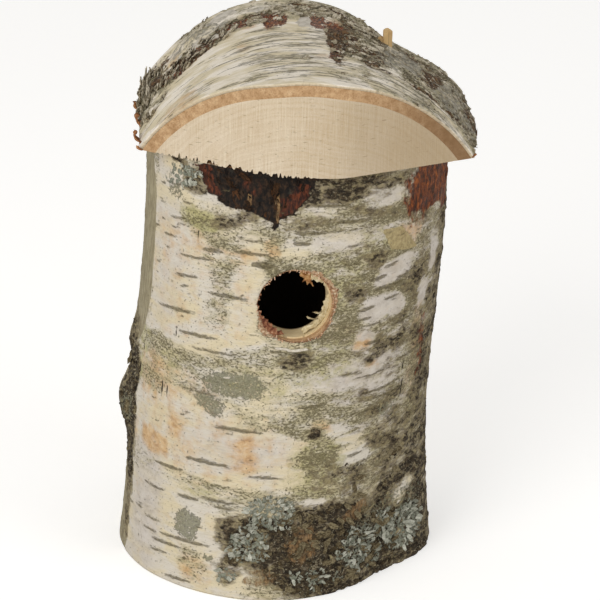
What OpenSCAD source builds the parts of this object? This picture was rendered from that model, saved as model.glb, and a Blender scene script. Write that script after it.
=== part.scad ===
// Bird nest box made from a hollowed birch log, with a half-log roof pinned on one wooden peg.
// The origin is on the sawn foot of the log, under the nest chamber. +Z is up and -Y is the front.

/* [Log] */
// Height of the log from its sawn foot to its sawn top
log_h = 225.5; // [210:0.5:245]
// Radius of the log over its bark, above the flare
log_r = 75.6; // [73:0.2:80]
// Extra radius at the foot of the log
flare = 6; // [0:0.5:9]
// Height over which the flare dies away
flare_h = 45; // [30:1:70]
// Sideways place of the log's centre at its foot
foot_x = -5.3; // [-7:0.1:0]
// Sideways place of the log's centre at its top
top_x = 2; // [0:0.1:4]
// Distance from the log's axis to its sawn flat back
back_y = 60; // [58:0.5:64]

/* [Bark] */
// Thickness of the white outer bark
bark_t = 1.5; // [1:0.1:2.5]
// Thickness of the inner bark of the log
log_inner_bark_t = 2.5; // [1.5:0.1:4]
// Thickness of the tan inner bark of the roof, which was sawn from an older trunk
roof_inner_bark_t = 5.5; // [3:0.1:6.5]

/* [Nest chamber] */
// Radius of the bored nest chamber
chamber_r = 52; // [46:0.5:54]
// Place of the chamber's axis, in front of the log's axis
chamber_y = -9; // [-11:0.5:0]
// Radius of the entrance hole
entrance_r = 17.5; // [13:0.5:19]
// Height of the middle of the entrance at the bark
entrance_z = 157.6; // [145:0.2:175]
// Sideways place of the middle of the entrance at the bark
entrance_x = 3.4; // [-5:0.2:6]
// Angle by which the entrance turns to the right, as it was drilled by hand
entrance_turn = 12; // [0:1:15]
// How far the drill tore the inner bark back round the entrance
inner_tear = 0.8; // [0.4:0.1:2]
// How far the drill tore the white bark back round the entrance
bark_tear = 2.2; // [2.1:0.1:4]

/* [Floor] */
// Thickness of the floor disc
floor_t = 20; // [16:0.5:26]
// Gap between the floor disc and the bored wall
floor_gap = 0.2; // [0.1:0.1:0.5]
// Radius of each drain hole
drain_r = 3; // [2:0.5:4]
// Number of drain holes
drain_count = 4; // [3:1:6]
// Distance from a drain hole's axis to the edge of the disc
drain_inset = 12; // [10:0.5:16]
// Direction of the first drain hole, clear of the floor screws
drain_from = 60; // [50:1:62]

/* [Roof] */
// Height of the roof's crown over its flat underside, at the front
roof_rise = 47.9; // [44:0.1:52]
// Height of the roof's crown over its flat underside, at the back
roof_back_rise = 46; // [43:0.1:50]
// How far each side of the roof overhangs the log, at the front
side_overhang = 5.5; // [4:0.5:10]
// How far each side of the roof overhangs the log, at the back
side_overhang_back = 7.4; // [5:0.1:12]
// Sideways place of the roof's crown at the front
crown_x = 7.3; // [4:0.1:8]
// Sideways place of the roof's crown at the back
crown_back_x = 4; // [1:0.5:6]
// How far the nose of the roof overhangs the front of the log
nose_overhang = 4.2; // [3:0.1:12]
// Radius of the rounding on each side of the nose
nose_r = 30; // [20:1:36]
// Half the width of the straight part of the nose
nose_half = 8.5; // [5:0.5:12]
// Angle at which the front falls back on each side of the nose
cheek_angle = 28.5; // [24:0.5:31]

/* [Peg] */
// Radius of the wooden peg that pins the roof
peg_r = 4; // [3.5:0.1:5]
// Direction of the peg from the log's axis, measured from the right-hand side
peg_angle = 43.5; // [40:0.5:50]
// Distance of the peg's axis from the surface of the log's bark
peg_inset = 16.1; // [14:0.1:18]
// Depth of the peg in the wall of the log
peg_depth = 35; // [28:1:45]
// Height of the peg over the bark beside it
peg_proud = 7.5; // [6:0.5:12]
// Running gap round the peg
peg_gap = 0.06; // [0.02:0.01:0.09]
// Thickness of the wedge that tightens the peg in the roof
wedge_t = 3; // [2.4:0.1:3.4]
// Depth of the wedge in the roof
wedge_depth = 28; // [22:1:32]
// Height of the wedge over the bark beside it
wedge_proud = 3.5; // [2:0.5:6]

/* [Hanger] */
// Distance of the middle of the hanger plate below the sawn top of the log
hanger_drop = 42.5; // [36:0.5:75]
// Length of the hanger plate
hanger_l = 54; // [50:1:60]
// Width of the hanger plate
hanger_w = 18; // [16:0.5:24]
// Thickness of the hanger plate, and depth of the recess that it lies in
hanger_t = 2; // [1.5:0.1:3]
// Radius of the round entry of the keyhole
keyhole_r = 5; // [4:0.1:6]
// Half the width of the keyhole's slot
keyhole_slot_r = 2.5; // [2:0.1:3]
// Height of the slot's end over the entry
keyhole_rise = 12; // [10:0.5:14]
// Depth of the pocket behind the plate for the head of the wall screw
pocket_d = 6; // [4:0.5:8]

/* [Screws] */
// Shank radius of a floor screw
floor_screw_r = 2; // [1.5:0.1:2.5]
// Length of a floor screw
floor_screw_l = 50; // [46:1:58]
// Shank radius of a hanger screw
hanger_screw_r = 1.5; // [1.2:0.05:1.8]
// Length of a hanger screw
hanger_screw_l = 12; // [10:0.5:13]
// Distance of a hanger screw's axis from the end of the plate
hanger_screw_inset = 6; // [5:0.5:8]

/* [Hidden] */

// Number of sides and rings of the natural surfaces
log_sides = 48;
log_rings = 19;
roof_sides = 26;
roof_stations = 11;
bore_fn = 48;
// Length by which a cutting tool runs past what it cuts
past = 1;
// Gap round a screw and round the wedge
fit_gap = 0.05;

// Heights between which the log leans over from foot_x to top_x
lean_from = 60;
lean_to = 200;

// Lumps and hollows of the log: [direction, height, rise, half-width in degrees, half-height]
log_lumps = [
    [183, 78, 6, 12, 13],     // dark branch knot on the left
    [186, 113, 2.5, 9, 9],    // its smaller upper swelling
    [324, 0, -9, 19, 70],     // flattened foot at the front right
    [300, 0, -5, 22, 70],     // the same flat, towards the front
    [260, 214, -2.5, 20, 13], // scar under the roof where a branch was
    [285, 35, 1.3, 7, 9],     // plates of old bark on the rough foot
    [300, 12, 1.5, 7, 9],
    [300, 47, 1.2, 7, 9],
    [315, 24, 1.5, 7, 9],
    [315, 59, 1.2, 7, 9],
    [330, 12, 1.4, 7, 9],
    [330, 36, 1.5, 7, 9],
    [330, 71, 1.2, 7, 10],
    [345, 24, 1.3, 7, 9],
    [345, 48, 1.4, 7, 10]
];

// Lumps and hollows of the roof: [angle from the crown, place along Y, rise, half-width in degrees, half-length]
roof_lumps = [
    [-24, 62, 3, 20, 55],     // swollen left shoulder at the back
    [31, 62, -8, 17, 55],     // sunken right shoulder at the back
    [-62, 30, 1.5, 12, 35],   // thick bark along the left eave
    [60, 5, 3.5, 12, 35],     // thick bark along the right eave
    [-49, 4, 1.3, 5, 9],      // plates of old bark along the left ridge
    [-39, 16, 1.5, 5, 9],
    [-34, 41, 1.4, 5, 9],
    [-54, 28, 1.4, 5, 9],
    [20, 4, 1.2, 5, 12],      // plates of old bark on the right
    [34, 16, 1.4, 5, 12],
    [44, -9, 1.3, 5, 12],
    [49, 28, 1.5, 5, 12]
];

log_bark_all = bark_t + log_inner_bark_t;
roof_bark_all = bark_t + roof_inner_bark_t;
nose_y = -(log_r + nose_overhang);
nose_x = crown_x;
roof_far = 1.4 * log_r;
roof_tail = back_y + past;
roof_head = nose_y - past;
roof_half = 64;

peg_ring = log_r - peg_inset;
peg_x = top_x + peg_ring * cos(peg_angle);
peg_y = peg_ring * sin(peg_angle);
bore_r = peg_r + peg_gap;
peg_bore_depth = peg_depth + past;
peg_top = log_h + roof_height(peg_x, peg_y);
wedge_face = peg_r - wedge_t;
wedge_foot = peg_top - wedge_depth;
ridge_x = 0.35 * peg_r;
ridge_h = 0.5 * peg_r;

screw_z = floor_t / 2;
side_screw_angles = [8, 172];
back_angle = 90;

hanger_z = log_h - hanger_drop;
hanger_screw_z = hanger_l / 2 - hanger_screw_inset;
keyhole_z = hanger_z - keyhole_rise / 2;
pocket_r = keyhole_r + 1.5;

function smooth(t) = let (c = max(0, min(1, t))) c * c * (3 - 2 * c);
function mix(a, b, t) = a + (b - a) * t;
function turn_between(a, b) = abs((a - b + 540) % 360 - 180);
function lump(a, t, l) = l[2] * exp(-pow(turn_between(a, l[0]) / l[3], 2) - pow((t - l[1]) / l[4], 2));
function lumps(a, t, list, i = 0) = i >= len(list) ? 0 : lump(a, t, list[i]) + lumps(a, t, list, i + 1);

// Outline of the log at height z, in direction a, at a depth under the bark's surface
function log_x(z) = mix(foot_x, top_x, smooth((z - lean_from) / (lean_to - lean_from)));
function log_reach(a, z) = log_r + flare * exp(-z / flare_h) + lumps(a, z, log_lumps);
function log_point(a, z, depth) = let (r = log_reach(a, z) - depth) [log_x(z) + r * cos(a), r * sin(a), z];
function log_ring(z, depth) = [for (i = [0:log_sides - 1]) log_point(i * 360 / log_sides, z, depth)];
function log_height(i) = mix(-past, log_h + past, i / log_rings);

// Outline of the roof at place y along its axis, at an angle a from its crown
function roof_share(y) = (y - nose_y) / (back_y - nose_y);
function roof_top(y) = mix(roof_rise, roof_back_rise, roof_share(y));
function roof_half_w(y) = log_r + mix(side_overhang, side_overhang_back, roof_share(y));
function roof_r(y) = let (w = roof_half_w(y), h = roof_top(y)) (w * w + h * h) / (2 * h);
function roof_x(y) = mix(crown_x, crown_back_x, roof_share(y));
function roof_point(a, y, depth) =
    let (r = roof_r(y) + lumps(a, y, roof_lumps) - depth)
    [roof_x(y) + r * sin(a), y, log_h + roof_top(y) - roof_r(y) + r * cos(a)];
function roof_arc(y, depth) =
    [for (i = [0:roof_sides]) roof_point(mix(-roof_half, roof_half, i / roof_sides), y, depth)];
function roof_station(i) = mix(roof_head, roof_tail, i / roof_stations);

// Height of the roof's surface over its underside, at a place on the roof
function roof_height(x, y) =
    let (dx = x - roof_x(y), r = roof_r(y), a = asin(dx / r), reach = r + lumps(a, y, roof_lumps))
    roof_top(y) - r + sqrt(reach * reach - dx * dx);

// Closed skin over rings of points, joined ring to ring and round each ring
module skin(rings) {
    n = len(rings[0]);
    last = (len(rings) - 1) * n;
    sides = [for (k = [0:len(rings) - 2], i = [0:n - 1]) let (a = k * n + i, b = k * n + (i + 1) % n)
        each [[a, a + n, b + n], [a, b + n, b]]];
    ends = [[for (i = [0:n - 1]) i], [for (i = [n - 1:-1:0]) last + i]];
    polyhedron(points = [for (ring = rings) each ring], faces = concat(sides, ends));
}

// The log at a depth under its bark, longer than the log at both ends, and the sawn block it lies in
module log_skin(depth) skin([for (i = [0:log_rings]) log_ring(log_height(i), depth)]);
module log_block() translate([-2 * log_r, -2 * log_r, 0]) cube([4 * log_r, 2 * log_r + back_y, log_h]);

// One layer of the log, between two depths under its bark
module log_layer(outer, inner) difference() {
    intersection() {
        log_skin(outer);
        log_block();
    }
    log_skin(inner);
}

// The roof's trunk at a depth under its bark, longer than the roof at both ends
module roof_skin(depth) skin([for (i = [0:roof_stations]) roof_arc(roof_station(i), depth)]);

// Plan of the roof: a rounded nose, two cheeks that fall back from it and a straight sawn back
module roof_plan() {
    s = sin(cheek_angle);
    c = cos(cheek_angle);
    hull() {
        for (side = [-1, 1]) {
            translate([nose_x + side * nose_half, nose_y + nose_r]) circle(r = nose_r, $fn = 96);
            translate([nose_x + side * (nose_half + nose_r * s + roof_far * c),
                       nose_y + nose_r * (1 - c) + roof_far * s]) circle(r = 0.01, $fn = 4);
            translate([nose_x + side * (nose_half + nose_r * s + roof_far * c), back_y - 0.01])
                circle(r = 0.01, $fn = 4);
        }
    }
}

module roof_trim() translate([0, 0, log_h]) linear_extrude(2 * roof_rise) roof_plan();

module peg_bore() translate([peg_x, peg_y, log_h - peg_bore_depth])
    cylinder(r = bore_r, h = peg_bore_depth + 2 * roof_rise, $fn = bore_fn);

// A countersunk screw along -X, with its head's face at the origin
module countersunk_screw(r, l, grow = 0) {
    rotate([0, -90, 0]) {
        cylinder(r = r + grow, h = l + grow, $fn = bore_fn);
        cylinder(r1 = 2 * r + grow, r2 = r + grow, h = 1.2 * r, $fn = bore_fn);
    }
}

// The cross that the screwdriver turns, in the head of a countersunk screw
module cross_recess(r) for (turned = [0, 90]) rotate([turned, 0, 0])
    translate([-r / 2, -r, -r / 6]) cube([r / 2 + past, 2 * r, r / 3]);

// Distance from the chamber's axis to the face of a floor screw's head, under the bark at the sides
function floor_seat(a) = a == back_angle ? back_y - chamber_y
    : log_x(screw_z) * cos(a) + log_reach(a, screw_z) - bark_t;

module at_floor_screws() for (a = concat([back_angle], side_screw_angles))
    translate([0, chamber_y, screw_z]) rotate([0, 0, a]) translate([floor_seat(a), 0, 0]) children();

module floor_screw_holes() at_floor_screws() {
    countersunk_screw(floor_screw_r, floor_screw_l, fit_gap);
    rotate([0, 90, 0]) translate([0, 0, -fit_gap])
        cylinder(r = 2 * floor_screw_r + fit_gap, h = flare + 4 * log_bark_all, $fn = bore_fn);
}

module at_hanger_screws() for (side = [-1, 1])
    translate([0, back_y, hanger_z + side * hanger_screw_z]) rotate([0, 0, back_angle]) children();

// What is cut from every layer of the log, with the entrance grown by the tear of that layer
module log_cuts(tear) {
    translate([entrance_x, -log_r, entrance_z]) rotate([90, 0, entrance_turn])
        translate([0, 0, -log_r]) cylinder(r = entrance_r + tear, h = 1.5 * log_r, $fn = 2 * bore_fn);
    floor_screw_holes();
}

// Outline of the hanger plate, seen from behind the box
module hanger_outline(grow) translate([0, hanger_z]) {
    square([hanger_w + 2 * grow, hanger_l - hanger_w], center = true);
    for (side = [-1, 1]) translate([0, side * (hanger_l - hanger_w) / 2])
        circle(r = hanger_w / 2 + grow, $fn = bore_fn);
}

// A keyhole of a given entry and slot
module keyhole(entry, slot) translate([0, keyhole_z]) {
    circle(r = entry, $fn = bore_fn);
    translate([-slot, 0]) square([2 * slot, keyhole_rise]);
    translate([0, keyhole_rise]) circle(r = slot, $fn = bore_fn);
}

// A shape drawn on the flat back, extruded inwards from a depth under it
module into_back(from, to) translate([0, back_y - from, 0]) rotate([90, 0, 0]) linear_extrude(to - from) children();

module log_wall() color("#dcc59a") difference() {
    intersection() {
        log_skin(log_bark_all);
        log_block();
    }
    translate([0, chamber_y, -past]) cylinder(r = chamber_r, h = log_h + 2 * past, $fn = 4 * bore_fn);
    log_cuts(0);
    peg_bore();
    into_back(-past, hanger_t) hanger_outline(fit_gap);
    into_back(-past, hanger_t + pocket_d) keyhole(pocket_r, pocket_r);
    at_hanger_screws() countersunk_screw(hanger_screw_r, hanger_screw_l, fit_gap);
}

module log_inner_bark() color("#c08a52") difference() {
    log_layer(bark_t, log_bark_all);
    log_cuts(inner_tear);
}

module log_bark() color("#d9d3c4") difference() {
    log_layer(0, bark_t);
    log_cuts(bark_tear);
}

module floor_disc() color("#cfae7c") difference() {
    translate([0, chamber_y, 0]) cylinder(r = chamber_r - floor_gap, h = floor_t, $fn = 4 * bore_fn);
    for (i = [0:drain_count - 1]) translate([0, chamber_y, -past]) rotate([0, 0, drain_from + i * 360 / drain_count])
        translate([chamber_r - floor_gap - drain_inset, 0, 0])
            cylinder(r = drain_r, h = floor_t + 2 * past, $fn = bore_fn);
    floor_screw_holes();
}

module floor_screws() color("#9a9c9e") at_floor_screws() difference() {
    countersunk_screw(floor_screw_r, floor_screw_l);
    cross_recess(floor_screw_r);
}

module hanger_plate() color("#b4b6b8") difference() {
    into_back(0, hanger_t) difference() {
        hanger_outline(0);
        keyhole(keyhole_r, keyhole_slot_r);
    }
    at_hanger_screws() countersunk_screw(hanger_screw_r, hanger_screw_l, fit_gap);
}

module hanger_screws() color("#a2a4a6") at_hanger_screws() difference() {
    countersunk_screw(hanger_screw_r, hanger_screw_l);
    cross_recess(hanger_screw_r);
}

module roof_slab() color("#e3cfa6") difference() {
    intersection() {
        roof_skin(roof_bark_all);
        roof_trim();
    }
    peg_bore();
}

// One layer of the roof, between two depths under its bark
module roof_layer(outer, inner) difference() {
    intersection() {
        roof_skin(outer);
        roof_trim();
    }
    roof_skin(inner);
    peg_bore();
}

module roof_inner_bark() color("#c08a52") roof_layer(bark_t, roof_bark_all);

module roof_bark() color("#cfc9ba") roof_layer(0, bark_t);

// The round peg, cut flat on its left for the wedge, with its top pared to a ridge
module roof_peg() color("#d8b97e") translate([peg_x, peg_y, 0]) intersection() {
    translate([0, 0, log_h - peg_depth])
        cylinder(r = peg_r, h = peg_top + peg_proud + peg_depth - log_h, $fn = bore_fn);
    rotate([90, 0, 0]) linear_extrude(4 * peg_r, center = true) polygon([
        [-peg_r - past, 0], [peg_r + past, 0], [peg_r + past, peg_top + peg_proud - 1.5 * ridge_h],
        [ridge_x, peg_top + peg_proud], [-wedge_face, peg_top + peg_proud - ridge_h],
        [-wedge_face, wedge_foot], [-peg_r - past, wedge_foot]]);
}

// The thin wedge beside the peg, which fills the rest of the bore
module peg_wedge() color("#e0c684") translate([peg_x, peg_y, 0]) intersection() {
    translate([0, 0, wedge_foot + fit_gap])
        cylinder(r = peg_r, h = peg_top + wedge_proud - wedge_foot, $fn = bore_fn);
    translate([-2 * peg_r - wedge_face - fit_gap, -peg_r, wedge_foot])
        cube([2 * peg_r, 2 * peg_r, peg_top + peg_proud - wedge_foot]);
}

log_wall();
log_inner_bark();
log_bark();
floor_disc();
floor_screws();
hanger_plate();
hanger_screws();
roof_slab();
roof_inner_bark();
roof_bark();
roof_peg();
peg_wedge();
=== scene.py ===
"""A bird nest box made from a birch log: bark, lichens, sawn wood, peg and fixings, round its solids."""

import math
from collections import namedtuple

import bmesh
import bpy
import numpy as np
from mathutils import Matrix, Vector
from mathutils.geometry import delaunay_2d_cdt


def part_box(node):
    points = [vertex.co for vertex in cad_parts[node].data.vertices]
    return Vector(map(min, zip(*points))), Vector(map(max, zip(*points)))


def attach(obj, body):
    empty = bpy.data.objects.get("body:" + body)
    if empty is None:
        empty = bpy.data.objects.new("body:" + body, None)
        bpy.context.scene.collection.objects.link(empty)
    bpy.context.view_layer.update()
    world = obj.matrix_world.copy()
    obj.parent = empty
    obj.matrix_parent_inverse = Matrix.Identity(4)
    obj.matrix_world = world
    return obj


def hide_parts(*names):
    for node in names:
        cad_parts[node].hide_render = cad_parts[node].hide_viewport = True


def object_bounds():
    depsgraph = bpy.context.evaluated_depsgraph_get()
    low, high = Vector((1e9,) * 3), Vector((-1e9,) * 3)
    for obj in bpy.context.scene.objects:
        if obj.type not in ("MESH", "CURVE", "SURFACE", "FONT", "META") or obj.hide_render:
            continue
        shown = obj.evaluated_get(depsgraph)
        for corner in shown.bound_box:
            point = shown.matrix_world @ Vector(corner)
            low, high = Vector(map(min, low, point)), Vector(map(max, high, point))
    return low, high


bl_info = {
    "name": "Birch Log Nest Box",
    "version": (1, 0, 0),
    "blender": (4, 5, 0),
    "location": "View3D > Sidebar > Nest Box",
    "description": "Dresses a log nest box in birch bark, lichens, sawn wood and fixings",
    "category": "Add Mesh",
}

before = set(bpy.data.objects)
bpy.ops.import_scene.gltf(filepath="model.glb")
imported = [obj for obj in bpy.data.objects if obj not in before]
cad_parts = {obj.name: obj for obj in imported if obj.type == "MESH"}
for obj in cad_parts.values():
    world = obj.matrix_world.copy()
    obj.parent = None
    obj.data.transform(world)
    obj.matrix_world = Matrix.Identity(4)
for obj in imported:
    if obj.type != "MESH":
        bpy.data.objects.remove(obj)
CAD_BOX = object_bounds()
MM = 0.001

# The log, in millimetres and degrees. A direction is measured from +X, and the front is at -90.
LOG_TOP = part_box("log_bark")[1].z / MM
BACK_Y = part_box("log_bark")[1].y / MM
LOG_R = 75.6
FLARE, FLARE_H = 6.0, 45.0
FOOT_X, TOP_X = -5.3, 2.0
LEAN_FROM, LEAN_TO = 60.0, 200.0
BARK_T = 1.5
# First guesses of the angles at which bark meets the sawn back and the underside, and rounds of bettering
BACK_GUESS, EAVE_GUESS = 38.0, 60.0
ANGLE_ROUNDS, FRONT_ROUNDS = 8, 12
# Lumps and hollows: direction, height, rise, half-width in degrees, half-height
LOG_LUMPS = (
    (183, 78, 6, 12, 13),
    (186, 113, 2.5, 9, 9),
    (324, 0, -9, 19, 70),
    (300, 0, -5, 22, 70),
    (260, 214, -2.5, 20, 13),
    (285, 35, 1.3, 7, 9),
    (300, 12, 1.5, 7, 9),
    (300, 47, 1.2, 7, 9),
    (315, 24, 1.5, 7, 9),
    (315, 59, 1.2, 7, 9),
    (330, 12, 1.4, 7, 9),
    (330, 36, 1.5, 7, 9),
    (330, 71, 1.2, 7, 10),
    (345, 24, 1.3, 7, 9),
    (345, 48, 1.4, 7, 10),
)

# The entrance: the middle of the bore at the bark, its radius, and how far it turns to the right
ENTRANCE = (3.4, -LOG_R, 157.6)
ENTRANCE_R = 17.5
ENTRANCE_TURN = 12.0
# The floor screws at the two sides: their height, their directions and the radius of the countersink
SIDE_SCREW_Z = 10.0
SIDE_SCREW_ANGLES = (8.0, 172.0)
SIDE_SCREW_HOLE_R = 4.05
# Where the search for a screw's hole starts, from the chamber's axis, and how far up the torn pieces move
SIDE_SCREW_OUT, TEARS_UP = 78, 1.2
CHAMBER_Y = -9.0
# The peg: its radius, its middle, and where it comes out of the unrolled bark of the roof
PEG_R = 4.0
PEG_LOW, PEG_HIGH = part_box("roof_peg")
PEG_AT = (PEG_HIGH.x / MM - PEG_R, (PEG_LOW.y + PEG_HIGH.y) / 2 / MM)
PEG_ON_BARK = (44.6, 41.0)
# The points round a part of the peg and the rings up it
PEG_SIDES, PEG_LEVELS = 32, 40
# The peg and its wedge: the sides along X between which each lies, the ridge of its split top, and its seed
PEG_PARTS = (("roof_peg", -1.0, 4.0, 1.4, 501), ("peg_wedge", -4.0, -1.06, -2.2, 521))

# The roof, sawn from the outside of a wider trunk that lies along Y
NOSE_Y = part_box("roof_bark")[0].y / MM
ROOF_RISE, ROOF_BACK_RISE = 47.9, 46.0
SIDE_OVERHANG, SIDE_OVERHANG_BACK = 5.5, 7.4
CROWN_X, CROWN_BACK_X = 7.3, 4.0
NOSE_R, NOSE_HALF, CHEEK = 30.0, 8.5, 28.5
INNER_BARK_T = 5.5
# Lumps and hollows: angle from the crown, place along Y, rise, half-width in degrees, half-length
ROOF_LUMPS = (
    (-24, 62, 3, 20, 55),
    (31, 62, -8, 17, 55),
    (-62, 30, 1.5, 12, 35),
    (60, 5, 3.5, 12, 35),
    (-49, 4, 1.3, 5, 9),
    (-39, 16, 1.5, 5, 9),
    (-34, 41, 1.4, 5, 9),
    (-54, 28, 1.4, 5, 9),
    (20, 4, 1.2, 5, 12),
    (34, 16, 1.4, 5, 12),
    (44, -9, 1.3, 5, 12),
    (49, 28, 1.5, 5, 12),
)

# The camera that took the picture: what it looks at, how far off, its elevation, its roll and its lens
LOOK_AT = (5.2, 0.0, 130.7)
CAMERA_AWAY = 1600.0
CAMERA_ELEVATION = 22.07
CAMERA_ROLL = 1.37
CAMERA_LENS = 187.9
# The lamps, in metres: name, place and size
LAMPS = (("key", (-0.9, -1.5, 1.05), 1.3), ("fill", (1.5, -0.9, 0.7), 1.2))
# The floor: half its side and how far it lies under the box, in metres, and the glow that the camera sees
FLOOR_HALF, FLOOR_DROP, FLOOR_GLOW = 6.0, 0.0002, 0.42

# How a sheet of bark is made round a hole, in millimetres: how far from the hole's middle its grid is
# looked at, the gap that its grid keeps from the hole, how far past the hole its open edges are filled, and
# for the inner face the step of its points and the gap that they keep
HOLE_REACH, HOLE_GAP, RING_REACH = 45.0, 0.7, 4.0
INNER_STEP, INNER_GAP = 9.0, 3.0
# How far small pieces and the roof's bark stay above the plane on which the roof lies
PIECE_CLEAR, SKIN_CLEAR = 0.05, 0.01
# The drawn slits tilt on the left of the log: where that begins and ends, and how softly
TILT_FROM, TILT_SOFT = -20.0, 40.0
TILT_TO, TILT_END_SOFT = -120.0, 20.0


def linear(hex_colour):
    """An sRGB hex colour as the linear red, green and blue that a shader takes."""
    parts = [int(hex_colour[i:i + 2], 16) / 255 for i in (1, 3, 5)]
    return tuple(c / 12.92 if c <= 0.04045 else ((c + 0.055) / 1.055) ** 2.4 for c in parts)


def opaque(hex_colour):
    """An sRGB hex colour as a linear one with its alpha."""
    return (*linear(hex_colour), 1)


def smooth(t):
    """A step from 0 to 1 with soft ends."""
    t = np.clip(t, 0, 1)
    return t * t * (3 - 2 * t)


def step_up(value, start, span):
    """A soft step from 0 to 1 that starts at a value and takes a span."""
    return smooth((value - start) / span)


def mix(a, b, t):
    """A value between two others."""
    return a + (b - a) * t


def hump(x, middle, half):
    """A hump of height 1 with soft flanks, from its middle and its half width."""
    return np.exp(-((x - middle) / half) ** 2)


def unit(vectors):
    """Vectors in the same directions, each of length 1."""
    return vectors / np.linalg.norm(vectors, axis=1, keepdims=True)


def lattice(x, y, seed):
    """A repeatable random number from 0 to 1 at each whole-number place."""
    h = x * 374761393 + y * 668265263 + seed * 69069
    h = (h ^ (h >> 13)) * 1274126177
    return ((h ^ (h >> 16)) & 0xFFFF) / 0xFFFF


def noise(x, y, seed, octaves=4, rough=0.5):
    """Smooth random hills and hollows from about -1 to 1, with finer ones laid over them."""
    total, size, reach = 0, 1, 0
    for octave in range(octaves):
        ix, iy = np.floor(x).astype(np.int64), np.floor(y).astype(np.int64)
        fx, fy = smooth(x - ix), smooth(y - iy)
        near = mix(lattice(ix, iy, seed), lattice(ix + 1, iy, seed), fx)
        far = mix(lattice(ix, iy + 1, seed), lattice(ix + 1, iy + 1, seed), fx)
        total = total + size * (2 * mix(near, far, fy) - 1)
        reach += size
        x, y, size, seed = 2.03 * x + 17.1, 2.03 * y + 5.7, size * rough, seed + 1
    return total / reach


def ridges(x, y, seed, octaves=4):
    """Raised plates parted by narrow valleys, from 0 in a valley to 1."""
    return np.clip(2.2 * np.abs(noise(x, y, seed, octaves, 0.55)), 0, 1)


def fill(tree, made, inputs):
    """Fills or links the inputs of a node. A node given as a value stands for its first output in use."""
    for name, value in inputs.items():
        if isinstance(value, bpy.types.Node):
            value = next(output for output in value.outputs if output.enabled)
        if isinstance(value, bpy.types.NodeSocket):
            tree.links.new(value, made.inputs[name])
        else:
            made.inputs[name].default_value = value


def node(tree, kind, inputs=None, **settings):
    """Adds one node with its settings, and fills or links its inputs."""
    made = tree.nodes.new(kind)
    for name, value in settings.items():
        setattr(made, name, value)
    fill(tree, made, inputs or {})
    return made


def log_x(z):
    """Sideways place of the log's axis at a height."""
    return mix(FOOT_X, TOP_X, smooth((z - LEAN_FROM) / (LEAN_TO - LEAN_FROM)))


def log_reach(angle, z):
    """Distance from the log's axis to its bark."""
    reach = LOG_R + FLARE * np.exp(-z / FLARE_H)
    for direction, height, rise, half_angle, half_height in LOG_LUMPS:
        turn = np.abs((angle - direction + 540) % 360 - 180)
        reach = reach + rise * np.exp(-(turn / half_angle) ** 2 - ((z - height) / half_height) ** 2)
    return reach


def log_edge(z, depth, side):
    """Direction at which a skin of the log meets its sawn back, on one side."""
    angle = 90 + side * BACK_GUESS
    for step in range(ANGLE_ROUNDS):
        reach = log_reach(angle, z) - depth
        angle = 90 + side * (90 - np.degrees(np.arcsin(BACK_Y / reach)))
    return angle if side < 0 else angle - 360


def log_place(p, q, depth):
    """A point of the log's bark. p runs round from the left rear edge to the right rear one, and q from
    foot to top."""
    z = q * LOG_TOP
    angle = mix(log_edge(z, depth, 1), log_edge(z, depth, -1), p)
    reach = log_reach(angle, z) - depth
    turned = np.radians(angle)
    return np.stack([log_x(z) + reach * np.cos(turned), reach * np.sin(turned), z], axis=-1)


def log_flat(p, q):
    """The same point on the unrolled bark: the arc from the middle of the front, and the height."""
    z = q * LOG_TOP
    angle = mix(log_edge(z, 0, 1), log_edge(z, 0, -1), p)
    return np.radians(angle + 90) * LOG_R, z


def roof_share(y):
    """How far a place lies from the nose of the roof to its back, from 0 to 1."""
    return (y - NOSE_Y) / (BACK_Y - NOSE_Y)


def roof_rise(y):
    """Height of the roof's crown over its flat underside."""
    return mix(ROOF_RISE, ROOF_BACK_RISE, roof_share(y))


def roof_radius(y):
    """Radius of the trunk that the roof was sawn from."""
    half = LOG_R + mix(SIDE_OVERHANG, SIDE_OVERHANG_BACK, roof_share(y))
    return (half * half + roof_rise(y) ** 2) / (2 * roof_rise(y))


def roof_x(y):
    """Sideways place of the roof's crown."""
    return mix(CROWN_X, CROWN_BACK_X, roof_share(y))


def roof_reach(angle, y):
    """Distance from the axis of the roof's trunk to its bark."""
    reach = roof_radius(y)
    for direction, place, rise, half_angle, half_length in ROOF_LUMPS:
        share = -((angle - direction) / half_angle) ** 2 - ((y - place) / half_length) ** 2
        reach = reach + rise * np.exp(share)
    return reach


def roof_eave(y, depth, side):
    """Angle from the crown at which a skin of the roof meets its flat underside."""
    angle = side * EAVE_GUESS
    for step in range(ANGLE_ROUNDS):
        angle = side * np.degrees(np.arccos((roof_radius(y) - roof_rise(y)) / (roof_reach(angle, y) - depth)))
    return angle


def roof_front(x):
    """Place of the sawn front of the roof: a rounded nose between two straight cheeks."""
    away = np.abs(x - CROWN_X) - NOSE_HALF
    turned = np.radians(CHEEK)
    arc = NOSE_R - np.sqrt(np.maximum(NOSE_R ** 2 - np.clip(away, 0, NOSE_R * math.sin(turned)) ** 2, 0))
    return NOSE_Y + arc + np.maximum(away - NOSE_R * math.sin(turned), 0) * math.tan(turned)


def roof_at(p, q, depth):
    """Angle from the crown and place along Y. p runs from the left eave to the right one, and q from front
    to back."""
    y = np.full_like(p, NOSE_Y)
    for step in range(FRONT_ROUNDS):
        angle = mix(roof_eave(y, depth, -1), roof_eave(y, depth, 1), p)
        y = roof_front(roof_x(y) + (roof_reach(angle, y) - depth) * np.sin(np.radians(angle)))
    y = mix(y, BACK_Y, q)
    return mix(roof_eave(y, depth, -1), roof_eave(y, depth, 1), p), y


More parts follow.
